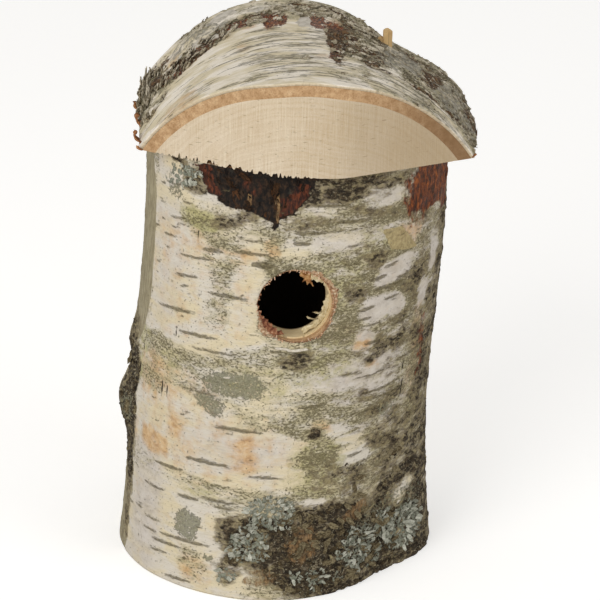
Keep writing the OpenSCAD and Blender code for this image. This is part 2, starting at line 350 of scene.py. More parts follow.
def roof_place(p, q, depth):
    """A point of the roof's bark, or of a skin at a depth under it."""
    angle, y = roof_at(p, q, depth)
    reach = roof_reach(angle, y) - depth
    turned = np.radians(angle)
    height = LOG_TOP + roof_rise(y) - roof_radius(y) + reach * np.cos(turned)
    return np.stack([roof_x(y) + reach * np.sin(turned), y, height], axis=-1)


def roof_flat(p, q):
    """The same point on the unrolled bark: the arc from the crown, and the place along Y."""
    angle, y = roof_at(p, q, 0)
    return np.radians(angle) * roof_radius(y), y


def paint(base, s, t, patches):
    """Lays patches over a base value. Each is a place, two half sizes, a turn, a value and the width of its
    edge."""
    field = np.full(s.shape, float(base))
    for at_s, at_t, half_s, half_t, turn, value, edge in patches:
        c, d = math.cos(math.radians(turn)), math.sin(math.radians(turn))
        along, across = (s - at_s) * c + (t - at_t) * d, (t - at_t) * c - (s - at_s) * d
        away = (np.abs(along / half_s) ** 3 + np.abs(across / half_t) ** 3) ** (1 / 3)
        distance = (away - 1) * min(half_s, half_t)
        field += (value - field) * smooth(0.5 - distance / edge)
    return field


def draw_outlines(field, s, t, outlines):
    """Lays outlined patches over a field. Each is a value, the width of its edge and its corners."""
    for value, edge, corners in outlines:
        loop = np.array(corners, float)
        near = (s > loop[:, 0].min() - edge) & (s < loop[:, 0].max() + edge)
        near &= (t > loop[:, 1].min() - edge) & (t < loop[:, 1].max() + edge)
        points = np.stack([s[near], t[near]], 1)
        distance = line_distance(points, loop) * np.where(inside(points, loop), -1, 1)
        field[near] += (value - field[near]) * smooth(0.5 - distance / edge)
    return field


def draw_dashes(s, t, dashes, soft=0.9, tilt=0.0, margin=4):
    """A field that is 1 along short tapered dashes. Each is two ends and a half thickness, and some tilt."""
    field = np.zeros(s.shape)
    for s0, t0, s1, t1, half in dashes:
        middle = (s0 + s1) / 2
        tilted = float(smooth((TILT_FROM - middle) / TILT_SOFT) * step_up(middle, TILT_TO, TILT_END_SOFT))
        lift = tilt * (s1 - s0) * tilted / 2
        t0, t1 = t0 - lift, t1 + lift
        length = math.hypot(s1 - s0, t1 - t0)
        c, d = (s1 - s0) / length, (t1 - t0) / length
        near = (np.abs(s - middle) < length) & (np.abs(t - (t0 + t1) / 2) < length * abs(d) + margin)
        along = (s[near] - s0) * c + (t[near] - t0) * d
        across = np.abs((t[near] - t0) * c - (s[near] - s0) * d)
        taper = np.sqrt(np.clip(1 - (2 * along / length - 1) ** 2, 0, 1))
        drawn = np.clip(0.5 + (half * taper - across) / (2 * soft), 0, 1) * (taper > 0)
        field[near] = np.maximum(field[near], drawn)
    return field


def scatter_dashes(rng, count, s_range, t_range, length, half, slope):
    """Dashes strewn at random over a stretch of bark."""
    dashes = []
    for one in range(count):
        s, t = rng.uniform(*s_range), rng.uniform(*t_range)
        long = rng.uniform(*length)
        dashes.append((s, t, s + long, t + long * rng.uniform(-slope, slope), rng.uniform(*half)))
    return dashes


def edges_of(faces):
    """Directed edges of some faces, as an array of vertex pairs."""
    ahead = np.roll(faces, -1, 1)
    return np.concatenate([np.stack([faces[:, i], ahead[:, i]], 1) for i in range(faces.shape[1])])


def loop_edges(count):
    """The edges of a closed loop, as pairs of point numbers."""
    return np.stack([np.arange(count), np.roll(np.arange(count), -1)], 1)


def grid_faces(number):
    """The faces of a grid of point numbers."""
    corners = [number[:-1, :-1], number[:-1, 1:], number[1:, 1:], number[1:, :-1]]
    return np.stack(corners, -1).reshape(-1, 4)


def open_edges(face_groups):
    """The directed edges that only one face has."""
    edges = np.concatenate([edges_of(f) for f in face_groups if len(f)])
    have = set(map(tuple, edges.tolist()))
    return np.array([e for e in map(tuple, edges.tolist()) if (e[1], e[0]) not in have])


def inside(points, loop):
    """Which points lie inside a closed loop."""
    found = np.zeros(len(points), bool)
    for a, b in zip(loop, np.roll(loop, -1, 0)):
        crossed = (a[1] > points[:, 1]) != (b[1] > points[:, 1])
        rise = b[1] - a[1] if b[1] != a[1] else 1e-12
        found ^= crossed & (points[:, 0] < a[0] + (points[:, 1] - a[1]) * (b[0] - a[0]) / rise)
    return found


def line_distance(points, loop):
    """Distance of points from a closed loop's line."""
    distance = np.full(len(points), np.inf)
    for a, b in zip(loop, np.roll(loop, -1, 0)):
        along = np.clip((points - a) @ (b - a) / max((b - a) @ (b - a), 1e-12), 0, 1)
        distance = np.minimum(distance, np.linalg.norm(points - a - along[:, None] * (b - a), axis=1))
    return distance


def fill_between(flat, edges, loops, extra=()):
    """Triangles that fill the area inside some edges and outside the loops, over points given by their
    numbers."""
    used = sorted(set(edges.ravel().tolist()) | set(extra))
    number = {v: i for i, v in enumerate(used)}
    pairs = [(number[a], number[b]) for a, b in edges.tolist()]
    made = delaunay_2d_cdt([Vector(flat[v]) for v in used], pairs, [], 1, 1e-6, True)
    faces = [[used[made[3][v][0]] for v in face] for face in made[2]]
    faces = np.array([f for f in faces if len(set(f)) == 3])
    middle = flat[faces].mean(1)
    keep = np.ones(len(faces), bool)
    for loop in loops:
        keep &= ~inside(middle, loop)
    faces, a, b, c = faces[keep], *(flat[faces[keep]][:, i] for i in range(3))
    turned = (b[:, 0] - a[:, 0]) * (c[:, 1] - a[:, 1]) - (b[:, 1] - a[:, 1]) * (c[:, 0] - a[:, 0]) < 0
    faces[turned] = faces[turned][:, ::-1]
    return faces


def bark_sheet(across, along, wide, tall, loops):
    """A thin closed sheet in the plane of its p and q: a dense outer face, a coarse inner face and rims
    between. Returns each vertex's p and q, whether it is on the inner face, and the faces."""
    columns, rows = len(across), len(along)
    p, q = np.meshgrid(across, along)
    at = np.stack([p.ravel(), q.ravel()], 1)
    size = np.array([wide, tall])
    quads = grid_faces(np.arange(columns * rows).reshape(rows, columns))
    cut = np.zeros(len(at), bool)
    for loop in loops:
        near = (np.abs(at * size - loop.mean(0) * size) < HOLE_REACH).all(1)
        spots = at[near] * size
        cut[near] |= inside(spots, loop * size) | (line_distance(spots, loop * size) < HOLE_GAP)
    quads = quads[~cut[quads].any(1)]
    ring = open_edges([quads])
    on_side = (at[:, 0] == across[0]) | (at[:, 0] == across[-1])
    on_end = (at[:, 1] == along[0]) | (at[:, 1] == along[-1])
    ring = ring[~(on_side | on_end)[ring].all(1)]
    outer = [quads]
    for loop in loops:
        first = len(at)
        at = np.concatenate([at, loop])
        away = np.linalg.norm((at[ring].mean(1) - loop.mean(0)) * size, axis=1)
        reach = np.linalg.norm((loop - loop.mean(0)) * size, axis=1).max() + RING_REACH
        edges = np.concatenate([ring[away < reach], loop_edges(len(loop)) + first])
        outer.append(fill_between(at * size, edges, [loop * size]))
    rim = open_edges(outer)
    rim_points = np.unique(rim)
    inner_number = {v: len(at) + i for i, v in enumerate(rim_points.tolist())}
    spans = [np.linspace(0, 1, int(span / INNER_STEP))[1:-1] for span in (wide, tall)]
    coarse = np.stack(np.meshgrid(*spans), -1).reshape(-1, 2)
    for loop in loops:
        spots = coarse * size
        coarse = coarse[~inside(spots, loop * size) & (line_distance(spots, loop * size) >= INNER_GAP)]
    shift = len(at)
    at = np.concatenate([at, at[rim_points], coarse])
    inner_rim = np.array([[inner_number[a], inner_number[b]] for a, b in rim.tolist()])
    extra = range(shift + len(rim_points), len(at))
    inner = fill_between(at * size, inner_rim, [loop * size for loop in loops], extra)[:, ::-1]
    sides = np.stack([rim[:, 1], rim[:, 0], inner_rim[:, 0], inner_rim[:, 1]], 1)
    faces = [f for f in outer + [inner, sides] if len(f)]
    used = np.unique(np.concatenate([f.ravel() for f in faces]))
    renumber = np.full(len(at), -1)
    renumber[used] = np.arange(len(used))
    return at[used], used >= shift, [renumber[f] for f in faces]


def store_fields(mesh, fields):
    """Stores painted fields and directions on the points of a mesh."""
    for name, values in fields.items():
        kind, key = ("FLOAT_VECTOR", "vector") if values.ndim == 2 else ("FLOAT", "value")
        mesh.attributes.new(name, kind, "POINT").data.foreach_set(key, values.astype(np.float32).ravel())


def add_object(name, data):
    """A new object in the scene, with its mesh, lamp or camera."""
    made = bpy.data.objects.new(name, data)
    bpy.context.scene.collection.objects.link(made)
    return made


def make_piece(name, points, faces, material, body, fields=None, shade_smooth=True):
    """A mesh piece from points in millimetres, with its painted fields, that rides on a body."""
    mesh = bpy.data.meshes.new(name)
    corners = [face for group in faces for face in group.tolist()]
    mesh.from_pydata((points * MM).tolist(), [], corners)
    store_fields(mesh, fields or {})
    mesh.polygons.foreach_set("use_smooth", [shade_smooth] * len(mesh.polygons))
    mesh.materials.append(material)
    piece = add_object(name, mesh)
    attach(piece, body)
    return piece


def in_box(points, inset=0.02):
    """Points in millimetres, held inside the box of the solids."""
    low, high = (np.array(c) / MM for c in CAD_BOX)
    return np.clip(points, low + inset, high - inset)


# Where each kind of cover lies on the unrolled log, in millimetres: its place, its two half sizes, its
# turn, its value and the width of its edge
LOG_ALGAE = (
    (60, 150, 75, 85, 0, 0.60, 40), (-150, 110, 45, 115, 0, 0.42, 30), (-98, 42, 9, 42, 0, 0.95, 8),
    (-30, 112, 85, 11, 0, 0.46, 7), (-52, 176, 34, 48, 0, 0.06, 6), (-34, 172, 11, 36, 0, 0.46, 12),
    (-22, 160, 8, 16, 0, 0.08, 6), (-50, 195, 15, 8, -10, 0.55, 8), (-10, 199, 15, 4, 0, 0.42, 5),
    (14, 202, 16, 6, 0, 0.68, 5), (16, 208, 14, 4, 0, 0.62, 5), (64, 154, 12, 11, 0, 0.85, 7),
    (20, 190, 15, 4, 6, 0.30, 4), (30, 150, 17, 34, 0, 0.70, 10), (45, 211, 10, 5, 0, 0.22, 6),
    (44, 200, 12, 5, 0, 0.72, 6), (55, 172, 11, 6, 6, 0.04, 5), (50, 153, 13, 7, 8, 0.04, 5),
    (41, 137, 6, 6, 0, 0.10, 5), (38, 121, 17, 6, 3, 0.22, 8), (20, 116, 10, 4, 3, 0.3, 6),
    (80, 153, 4, 8, 10, 0.22, 5), (90, 170, 4, 9, 10, 0.20, 5), (-24, 76, 37, 15, 0, 0.00, 3.5),
    (-43, 96, 23, 8, -6, 0.04, 4), (-64, 72, 34, 24, 0, 0.06, 8), (-50, 54, 50, 9, -4, 0.36, 8),
    (-40, 60, 16, 4, 0, 0.52, 6), (-66, 24, 42, 28, 0, 0.04, 8), (-30, 9, 15, 9, 0, 0.08, 5),
    (-42, 14, 8, 8, 0, 0.45, 6), (40, 80, 32, 26, 0, 0.72, 16), (30, 90, 6, 3, 6, 0.06, 4),
    (37, 84, 7, 2.5, 0, 0.04, 3), (42, 75, 9, 5, 0, 0.10, 5), (20, 51, 5, 2, 0, 0.06, 3),
    (83, 44, 8, 3, 8, 0.10, 4), (-20, 138, 9, 4, 0, 0.04, 4), (62, 88, 5, 8, 0, 0.25, 6),
    (56, 110, 8, 4, 5, 0.3, 6), (150, 120, 50, 110, 0, 0.66, 30), (-176, 60, 22, 30, 0, 0.16, 12),
    (-160, 170, 20, 30, 10, 0.10, 12), (150, 60, 20, 14, 0, 0.15, 10), (132, 180, 18, 22, 0, 0.2, 10),
)
# Dark bark. Its broad patch on the right and its bands near the right edge, past about 70 mm, are partly dark
# bark and partly painted shade on the side away from the key light.
LOG_DARK_AND_SHADE = (
    (75, 140, 48, 82, 0, 0.34, 40), (54, 22, 68, 27, -5, 0.94, 12), (-100, 40, 6, 44, 0, 0.52, 6),
    (67, 155, 10, 10, 0, 0.74, 7), (-16, 34, 13, 12, 20, 0.66, 8), (-22, 15, 8, 7, 25, 0.58, 7),
    (82, 62, 40, 26, -10, 0.62, 22), (40, 60, 26, 10, -6, 0.46, 16), (86, 130, 14, 16, 0, 0.62, 12),
    (68, 148, 9, 7, 10, 0.55, 8), (62, 140, 10, 4, 0, 0.5, 6), (99, 110, 16, 60, 0, 0.72, 14),
    (55, 172, 13, 7, 6, 0.0, 5), (50, 153, 14, 8, 8, 0.0, 5), (60, 188, 13, 7, -8, 0.0, 4),
    (32, 162, 6, 8, 0, 0.66, 6), (43, 177, 4, 6, 0, 0.62, 5), (74, 198, 13, 7, 0, 0.52, 6),
    (20, 218, 34, 8, 0, 0.80, 7), (-24, 202, 26, 5, 12, 0.52, 6), (6, 200, 14, 5, 0, 0.50, 5),
    (38, 204, 14, 3, 0, 0.52, 5), (49, 219, 12, 4, 0, 0.6, 5), (6, 130, 8, 6, 0, 0.66, 5),
    (-62, 217, 18, 7, -8, 0.75, 5), (-104, 82, 12, 42, 0, 1.0, 9), (18, 89, 3.2, 3.2, 0, 0.85, 2),
    (60, 131, 13, 6, 6, 0.68, 8), (60, 101, 14, 4, 4, 0.56, 6), (-40, 106, 14, 5, 0, 0.30, 5),
    (130, 40, 50, 40, 0, 0.8, 24), (108, 176, 14, 40, 0, 0.64, 12), (-150, 30, 24, 18, 0, 0.6, 14),
    (-140, 200, 22, 14, 0, 0.5, 12), (160, 200, 20, 20, 0, 0.6, 14), (-186, 120, 12, 30, 0, 0.5, 12),
)
LOG_TAN = (
    (-107, 170, 21, 56, 0, 1.0, 2.6), (-108, 34, 16, 50, 0, 0.85, 8),
)
LOG_STAIN = (
    (-50, 160, 40, 30, 0, 0.26, 20), (-30, 78, 50, 20, 0, 0.36, 16), (-60, 185, 20, 8, 0, 0.44, 8),
    (-50, 108, 22, 9, 0, 0.42, 9), (-76, 104, 16, 14, 0, 0.64, 9), (-40, 90, 30, 8, 0, 0.34, 9),
    (-53, 84, 5, 6, 0, 1.00, 6), (-71, 71, 11, 6, 0, 0.98, 4), (-16, 78, 7, 9, 0, 0.82, 8),
    (-91, 70, 5, 7, 0, 0.70, 5), (-10, 187, 4, 5, 20, 1.0, 4), (40, 135, 6, 2.5, 0, 1.0, 4),
    (47, 123, 4, 2, 0, 0.9, 3), (-40, 12, 8, 8, 0, 0.62, 9), (-26, 184, 14, 2.5, -2, 0.6, 4),
    (15, 27, 7, 9, 0, 1.0, 6), (8, 39, 4, 6, 0, 1.0, 4), (26, 142, 9, 5, 0, 0.6, 6),
    (64, 188, 12, 7, 0, 0.6, 6), (78, 120, 5, 24, 0, 0.8, 6), (22, 94, 4, 3, 0, 1.0, 4),
    (150, 90, 24, 20, 0, 0.4, 16), (-165, 190, 14, 12, 0, 0.5, 10),
)
LOG_RUST = (
    (84, 210, 24, 12, 0, 1.2, 7), (99, 197, 8, 8, 0, 0.66, 5), (60, 212, 5, 7, 0, 0.5, 5),
    (85, 120, 4, 22, 0, 0.5, 5), (70, 194, 9, 5, 0, 0.42, 5), (118, 214, 14, 8, 0, 0.7, 8),
)
# Outlined patches: a value, the width of the edge, and the corners
LOG_SCAR = (
    (1.0, 2.0, ((-54, 226), (-50, 218), (-46, 213), (-41, 209), (-36, 206.5), (-30, 205), (-25, 206),
     (-20, 205), (-16, 203), (-13, 201), (-11, 198.5), (-9, 197.5), (-7, 199), (-5, 202), (-1, 204),
     (3, 207), (6, 212), (10, 217), (13, 226))),
)
LOG_RED = (
    (0.95, 2.5, ((-54, 226), (-50, 218), (-46, 213), (-41, 209.5), (-38, 211), (-41, 217), (-44, 226))),
    (0.85, 2.5, ((-8, 203), (-1, 205), (4, 209), (8, 216), (5, 220), (-2, 216), (-7, 212))),
    (0.42, 3.0, ((-33, 220), (-26, 214), (-18, 212), (-14, 217), (-20, 222))),
)
LOG_OCHRE = (
    (1.0, 1.6, ((-11.5, 216), (-10.5, 207), (-9.4, 199), (-8.0, 200), (-7.4, 208), (-8.6, 216))),
    (0.8, 1.6, ((-25, 214), (-24, 207), (-22, 207), (-22.5, 213))),
    (0.52, 6.0, ((6, 20), (4, 30), (10, 40), (18, 42), (24, 34), (22, 22), (14, 16))),
    (0.50, 3.0, ((-16, 8), (-12, 16), (-2, 18), (4, 12), (-4, 6))),
    (0.55, 3.0, ((34, 38), (40, 46), (52, 48), (56, 40), (44, 34))),
)
# Clean plates of bark with sharp edges, and the smooth tan patch beside the white triangle
LOG_PLATES = (
    (0.72, 4.0, ((43, 163), (44, 170), (48, 175), (57, 178), (66, 177.5), (63, 171), (55, 166))),
    (0.70, 4.0, ((36, 150), (39, 156), (45, 158.5), (51, 157), (53, 154), (50, 149.5), (44, 147), (39, 146))),
    (0.7, 4.0, ((36, 132), (35, 138), (40, 142), (47, 141), (47, 134), (42, 131))),
    (1.0, 0.9, ((58, 192.5), (68, 192.5), (69.5, 181.5))),
    (0.45, 2.0, ((7, 186), (10, 193), (20, 195), (36, 195.5), (32, 190), (22, 186.5))),
    (0.85, 3.0, ((-4, 183), (-6, 189), (0, 193), (6, 190), (5, 185))),
    (0.4, 4.0, ((35, 207), (38, 215), (50, 217), (56, 214), (54, 207), (44, 205))),
    (0.7, 4.0, ((22, 112), (22, 116), (34, 119), (50, 124), (60, 127), (58, 122), (44, 115), (32, 111))),
    (0.95, 1.6, ((25, 88.5), (28, 93), (34, 92.5), (33, 88))),
    (0.8, 2.4, ((29, 82.5), (31, 86), (42, 87), (43, 84), (36, 82))),
    (0.75, 4.0, ((33, 70), (34, 78), (41, 81), (48, 78), (46, 71), (39, 69))),
    (0.95, 1.4, ((15, 50), (17, 52.5), (25, 52.5), (24, 50))),
    (0.6, 4.0, ((75, 38), (78, 46), (90, 49), (92, 44), (84, 39))),
    (0.8, 3.0, ((76, 146), (77, 158), (84, 160), (84, 148))),
    (0.8, 3.0, ((85, 162), (86, 176), (94, 178), (94, 164))),
    (1.0, 2.2, ((-85, 126), (-84, 222), (-62, 222), (-62, 200), (-64, 190), (-46, 186), (-44, 164),
     (-46, 141), (-34, 138), (-26, 134), (-30, 130), (-45, 127), (-56, 129), (-70, 133))),
    (0.9, 2.5, ((-27, 146), (-28, 160), (-26, 170), (-20, 171), (-16, 166), (-15, 156), (-17, 146))),
    (1.0, 1.3, ((-64, 62), (-66, 76), (-64, 90), (-58, 100), (-46, 103), (-36, 99), (-28, 93), (-20, 90.5),
     (2, 91), (15, 84), (12, 79.5), (5, 76.5), (6, 72.5), (15, 68), (14, 62), (-6, 59), (-30, 61))),
)
LOG_TAN_PATCH = (
    (1.0, 1.5, ((45, 194), (58, 193), (62, 188), (71, 179), (60, 180), (51, 182.5))),
)
LOG_MOSS = (
    (-50, 196, 12, 6, -8, 0.80, 7), (-47, 196, 6, 5, 0, 0.95, 5), (-88, 120, 6, 10, 0, 0.55, 6),
    (20, 128, 22, 14, 0, 0.46, 14), (24, 168, 14, 18, 0, 0.50, 12), (22, 70, 16, 18, 0, 0.52, 12),
    (-92, 104, 4, 10, -10, 0.6, 4), (-66, 118, 12, 5, 0, 0.5, 6), (-38, 53, 12, 5, 0, 0.50, 6),
    (-10, 116, 26, 10, 0, 0.44, 9), (84, 84, 8, 20, 0, 0.5, 10), (46, 185, 14, 9, 0, 0.46, 8),
)
LOG_GREY = (
    (-24, 114, 15, 6, -4, 0.72, 3), (-34, 102, 8, 4.5, -20, 0.70, 3), (-45, 34, 7, 7, -15, 0.86, 3),
    (-34, 19.5, 3.5, 1.6, 0, 0.85, 2), (-66, 206, 6, 4, 0, 0.5, 3), (-104, 76, 7, 8, 0, 0.5, 4),
    (70, 32, 30, 12, 10, 0.36, 8), (60, 95, 8, 4, 0, 0.5, 4),
)
LOG_BLUE = (
    (-2, 47, 11, 8, 8, 1.0, 4), (-12, 29, 9, 9, 0, 0.80, 5), (10, 12, 3.0, 2.4, 0, 1.0, 2),
    (21, 9, 5, 5, 0, 1.0, 3), (47, 21, 11, 10, -20, 0.86, 4), (67, 28, 6, 7, 0, 0.84, 3),
    (83, 21, 13, 10, 10, 0.98, 4), (-24, 13, 4, 4, 0, 0.6, 3), (60, 11, 6, 4, 0, 0.7, 3),
    (34, 9, 4, 3, 0, 0.6, 3), (154, 24, 16, 14, 0, 0.8, 6), (-62, 215, 11, 4.5, 10, 0.76, 4),
)
LOG_LILAC = (
    (60, 150, 45, 60, 0, 1.0, 30), (-20, 80, 30, 12, 0, 0.5, 14), (0, 205, 40, 15, 0, 0.55, 14),
    (-76, 40, 14, 40, 0, 0.7, 14), (-72, 170, 14, 46, 0, 0.4, 12),
)
# Clean torn paper under the entrance, and loose white flecks
LOG_CLEAN = (
    (1.0, 1.2, ((-6, 135.4), (2, 133.9), (12, 134.6), (11, 136), (3, 135.1), (-5, 136.5))),
    (1.0, 1.0, ((77.5, 35), (79, 37), (80.5, 35.5), (79, 34.3))),
    (0.9, 1.2, ((-30, 117.5), (-26, 119), (-25, 118), (-28, 117))),
    (0.9, 1.2, ((-22, 107.5), (-19, 109), (-18, 107.5), (-20, 106.8))),
    (0.9, 1.0, ((45, 38.5), (46.5, 40), (47.2, 38.8))),
)

# The dark breathing slits of the bark that the picture shows: two ends and a half thickness
LOG_SLITS = (
    (-75, 210, -60, 209.6, 0.5), (-81, 207, -75, 207, 0.4), (-62, 202.5, -55, 202, 0.5),
    (-81, 197, -75, 197, 0.4), (-71, 193, -58, 193, 0.5), (-66, 190, -58, 190, 0.4),
    (-80, 188.5, -75, 188, 0.5), (-70, 187.5, -63, 187.5, 0.4), (-87, 183, -80, 183, 0.6),
    (-76, 182, -66, 181.6, 0.6), (-48, 181.5, -36, 181.5, 1.0), (-32, 184, -10, 183.6, 0.8),
    (-21, 178.5, -8, 178.5, 1.7), (-63, 176, -40, 175.3, 0.6), (-74, 175, -70, 175, 0.5),
    (-83, 165.5, -77, 165.5, 0.5), (-65, 165, -48, 164.5, 0.7), (-41, 166.2, -32, 166, 0.4),
    (-61, 159, -54, 159, 0.5), (-43, 160, -20, 159.3, 0.9), (-76, 146, -48, 145, 0.9),
    (-59, 136.5, -35, 135.3, 0.8), (7, 209.6, 28, 209.4, 0.8), (20, 200.6, 40, 201, 1.0),
    (-1, 196, 16, 196, 0.9), (14, 196.2, 34, 196.5, 0.5), (-1, 190.5, 8, 190.2, 1.1),
    (25, 188, 35, 188.3, 0.6), (24, 178.3, 34, 178.6, 0.7), (42, 163, 62, 164, 1.2),
    (28, 119.4, 39, 119.6, 0.7), (-34, 90.7, -6, 90.3, 0.9), (-48, 70.6, -22, 70, 0.9),
    (-13, 66, 5, 66, 0.7), (-69, 62, -48, 61, 0.9), (-78, 47.5, -60, 46, 0.6), (-52, 48.8, -38, 48.2, 0.9),
    (-38, 50.7, -18, 50.3, 0.8), (-31, 47.5, -18, 47.2, 0.6), (-86, 30.8, -77, 30.2, 0.5),
    (-76, 29.2, -62, 28.2, 0.6), (-62, 25.3, -31, 24.3, 0.8), (-75, 22.8, -64, 21.8, 0.6),
    (-68, 20, -48, 19, 0.8), (-69, 14, -55, 13.4, 0.6), (-57, 4, -40, 3, 0.7), (8, 104.3, 24, 104.7, 0.7),
    (44, 107, 70, 109, 0.8), (46, 102.5, 74, 104, 0.7), (36, 97, 58, 97.6, 0.6), (52, 141, 74, 143, 0.8),
    (62, 120, 86, 122, 0.9), (20, 140.3, 34, 140.7, 0.5), (-8, 133.8, 12, 133.5, 0.6),
    (-50, 130, -22, 129, 0.6), (-30, 190.7, -14, 190.3, 0.5), (38, 168, 50, 169.5, 1.1),
    (47, 173.5, 57, 175, 0.8), (34, 153, 45, 154.5, 1.0), (49, 156.5, 60, 157.5, 0.8),
    (55, 165.5, 67, 168, 0.8), (33, 148, 43, 148.6, 0.8), (40, 134.5, 50, 135.5, 0.9),
    (37, 74, 47, 75, 0.8), (-96, 29, -88, 28, 0.5), (-90, 52, -84, 50, 0.5), (36, 116, 60, 118, 0.5),
    (34, 144, 50, 145, 0.5),
)
LOG_CRACKS = (
    (-50.5, 184, -50.5, 190, 0.35), (-68, 162, -68, 171, 0.3), (-61, 130, -60, 138, 0.3),
    (46, 33, 46.5, 42, 0.6), (-90, 110, -92, 100, 0.6), (-92, 101, -93, 93, 0.7), (-93, 94, -96, 84, 0.6),
    (-68, 95, -67, 106, 0.4), (-65.5, 96, -65, 106, 0.4), (-63, 97, -63, 104, 0.3),
    (-10, 200, -10, 214, 0.7), (-87, 124, -89, 112, 0.5), (-95, 62, -96, 40, 0.5), (-92, 50, -93, 30, 0.4),
    (60, 175, 76, 160, 0.3), (97, 150, 101, 128, 0.6), (88, 128, 90, 110, 0.4), (70, 118, 72, 96, 0.4),
    (104, 96, 104, 60, 0.5),
)

# Torn pieces in the entrance: name, depth under the bark, thickness, finish, slot, and corners right of and
# above the middle of the bore
ENTRANCE_TEARS = (
    ("entrance_flap", 2.2, 1.3, "flap", "inner_bark",
     ((1.8, 18.8), (2.6, 16.4), (2.2, 14.6), (4.4, 12.6), (3.6, 10.8), (5.2, 11.6), (5.4, 9.4), (6.6, 10.6),
      (8.6, 8.2), (9.2, 8.4), (7.8, 11.0), (8.6, 12.4), (7.8, 13.8), (8.8, 17.2), (6.0, 18.6))),
    ("entrance_shelf", 1.9, 1.0, "pale", "birch_wood",
     ((7.2, 13.4), (8.0, 11.4), (9.2, 11.9), (10.6, 10.4), (11.8, 11.2), (12.8, 10.2), (13.9, 11.0),
      (14.2, 9.0), (16.4, 8.4), (15.8, 11.0), (13.2, 14.0), (9.0, 17.0), (7.4, 15.4))),
    ("entrance_rag", 3.2, 0.9, "rag", "inner_bark",
     ((-17.8, -3.0), (-16.4, -3.6), (-16.8, -5.6), (-15.0, -6.0), (-15.2, -8.0), (-13.2, -8.0),
      (-13.4, -9.8), (-11.4, -10.2), (-11.2, -12.6), (-8.6, -12.6), (-8.4, -14.4), (-6.0, -14.6),
      (-4.8, -16.8), (-9.0, -17.2), (-13.0, -14.2), (-16.2, -9.8))),
    ("entrance_burr", 5.0, 1.0, "pale", "birch_wood",
     ((17.4, 3.0), (15.8, 1.8), (15.6, -0.6), (14.4, -1.6), (14.8, -3.6), (13.4, -4.6), (13.8, -6.8),
      (12.0, -7.6), (12.2, -9.8), (10.0, -10.6), (9.4, -12.8), (6.6, -13.4), (4.0, -15.0), (5.4, -17.2),
      (11.0, -14.6), (16.0, -9.0), (17.8, -3.0))),
    ("entrance_splinter_low", 7.0, 0.5, "pale", "birch_wood",
     ((9.6, -7.2), (11.0, -6.7), (12.6, -7.3), (16.2, -7.2), (16.0, -8.2), (12.0, -7.9))),
    ("entrance_splinter_tip", 8.0, 0.45, "pale", "birch_wood",
     ((6.8, -9.6), (7.8, -9.2), (8.6, -10.0), (11.4, -11.2), (13.4, -11.0), (13.0, -12.4), (9.4, -11.2),
      (7.2, -10.6))),
)

# Curled ends of bark along the eaves: place across and along the roof, depth under the bark, the direction
# in which each points, its lean, its length, its width and how far it curls
EAVE_CURLS = (
    (0.0, 0.38, 1.2, 192, -10, 7.0, 9.0, 120), (0.0, 0.33, 3.2, 172, 4, 5.0, 5.0, 90),
    (0.0, 0.13, 1.0, 190, -8, 7.0, 7.0, 110), (0.0, 0.09, 3.6, 205, 10, 5.0, 4.0, 80),
    (0.0, 0.02, 2.0, 215, 15, 4.5, 4.0, 100), (0.0, 0.60, 1.0, 180, -6, 5.0, 8.0, 100),
    (1.0, 0.03, 2.0, -30, 12, 4.0, 4.0, 90), (1.0, 0.34, 1.0, 0, -6, 4.0, 6.0, 100),
)

# Where each kind of cover lies on the unrolled roof, in the same way
ROOF_ALGAE = (
    (-94, 16, 14, 40, 0, 0.78, 8), (-64, 14, 30, 10, 27, 0.86, 5), (-24, 31, 26, 10, 8, 0.74, 6),
    (-4, 40, 20, 9, 0, 0.7, 8), (30, 12, 18, 44, -8, 0.80, 10), (52, 30, 22, 34, 0, 0.76, 12),
    (84, 20, 22, 48, 10, 0.74, 14), (94, 4, 10, 50, 0, 0.90, 8), (70, 4, 14, 26, 0, 0.74, 10),
    (74, -14, 32, 18, 0, 0.74, 10), (-50, 52, 24, 12, 0, 0.42, 8), (-84, -10, 9, 9, 0, 0.52, 8),
    (-12, -40, 16, 4, 0, 0.46, 6), (60, -50, 40, 18, 0, 0.42, 14), (25, -62, 22, 8, 0, 0.40, 8),
    (20, 50, 40, 12, 0, 0.6, 14), (-60, -40, 10, 14, 0, 0.3, 8), (-20, -62, 20, 6, 0, 0.3, 6),
)
ROOF_DARK = (
    (-76, 18, 10, 14, 20, 0.76, 6), (-62, 11, 12, 7, 25, 0.90, 6), (-46, 22, 14, 6, 25, 0.66, 8),
    (14, -12, 3.4, 36, 2, 1.0, 3), (18, 8, 7, 20, 0, 0.95, 4), (26, -18, 8, 18, 0, 0.56, 8),
    (38, 10, 5, 44, -6, 0.56, 8), (72, 20, 6, 34, -12, 0.72, 7), (60, -29, 26, 2.4, 6, 0.76, 4),
    (88, -26, 12, 3, -6, 0.66, 5), (-86, -14, 8, 8, 0, 0.40, 8), (-92, -28, 5, 10, 0, 0.50, 6),
    (96, 10, 8, 40, 0, 0.62, 10), (80, 44, 20, 10, 0, 0.52, 10), (-26, 32, 14, 6, 8, 0.6, 8),
    (-8, 46, 14, 7, 0, 0.45, 8), (-90, 46, 16, 12, 0, 0.6, 10), (24, 40, 14, 18, 0, 0.55, 12),
)
ROOF_STAIN = (
    (-31, 28, 5, 11, 10, 0.9, 5), (-18, 22, 3.4, 14, 0, 1.0, 3), (20, 12, 10, 26, 0, 0.9, 8),
    (28, -12, 6, 10, 0, 0.6, 8), (-57, -40, 3, 16, 0, 0.45, 5), (-32, -12, 5, 8, 0, 0.42, 6),
    (8, -34, 8, 6, 0, 0.4, 8), (-72, 34, 5, 9, 0, 0.5, 6), (42, 40, 4, 18, -6, 0.7, 6),
    (-70, -50, 14, 14, 0, 0.5, 10),
)
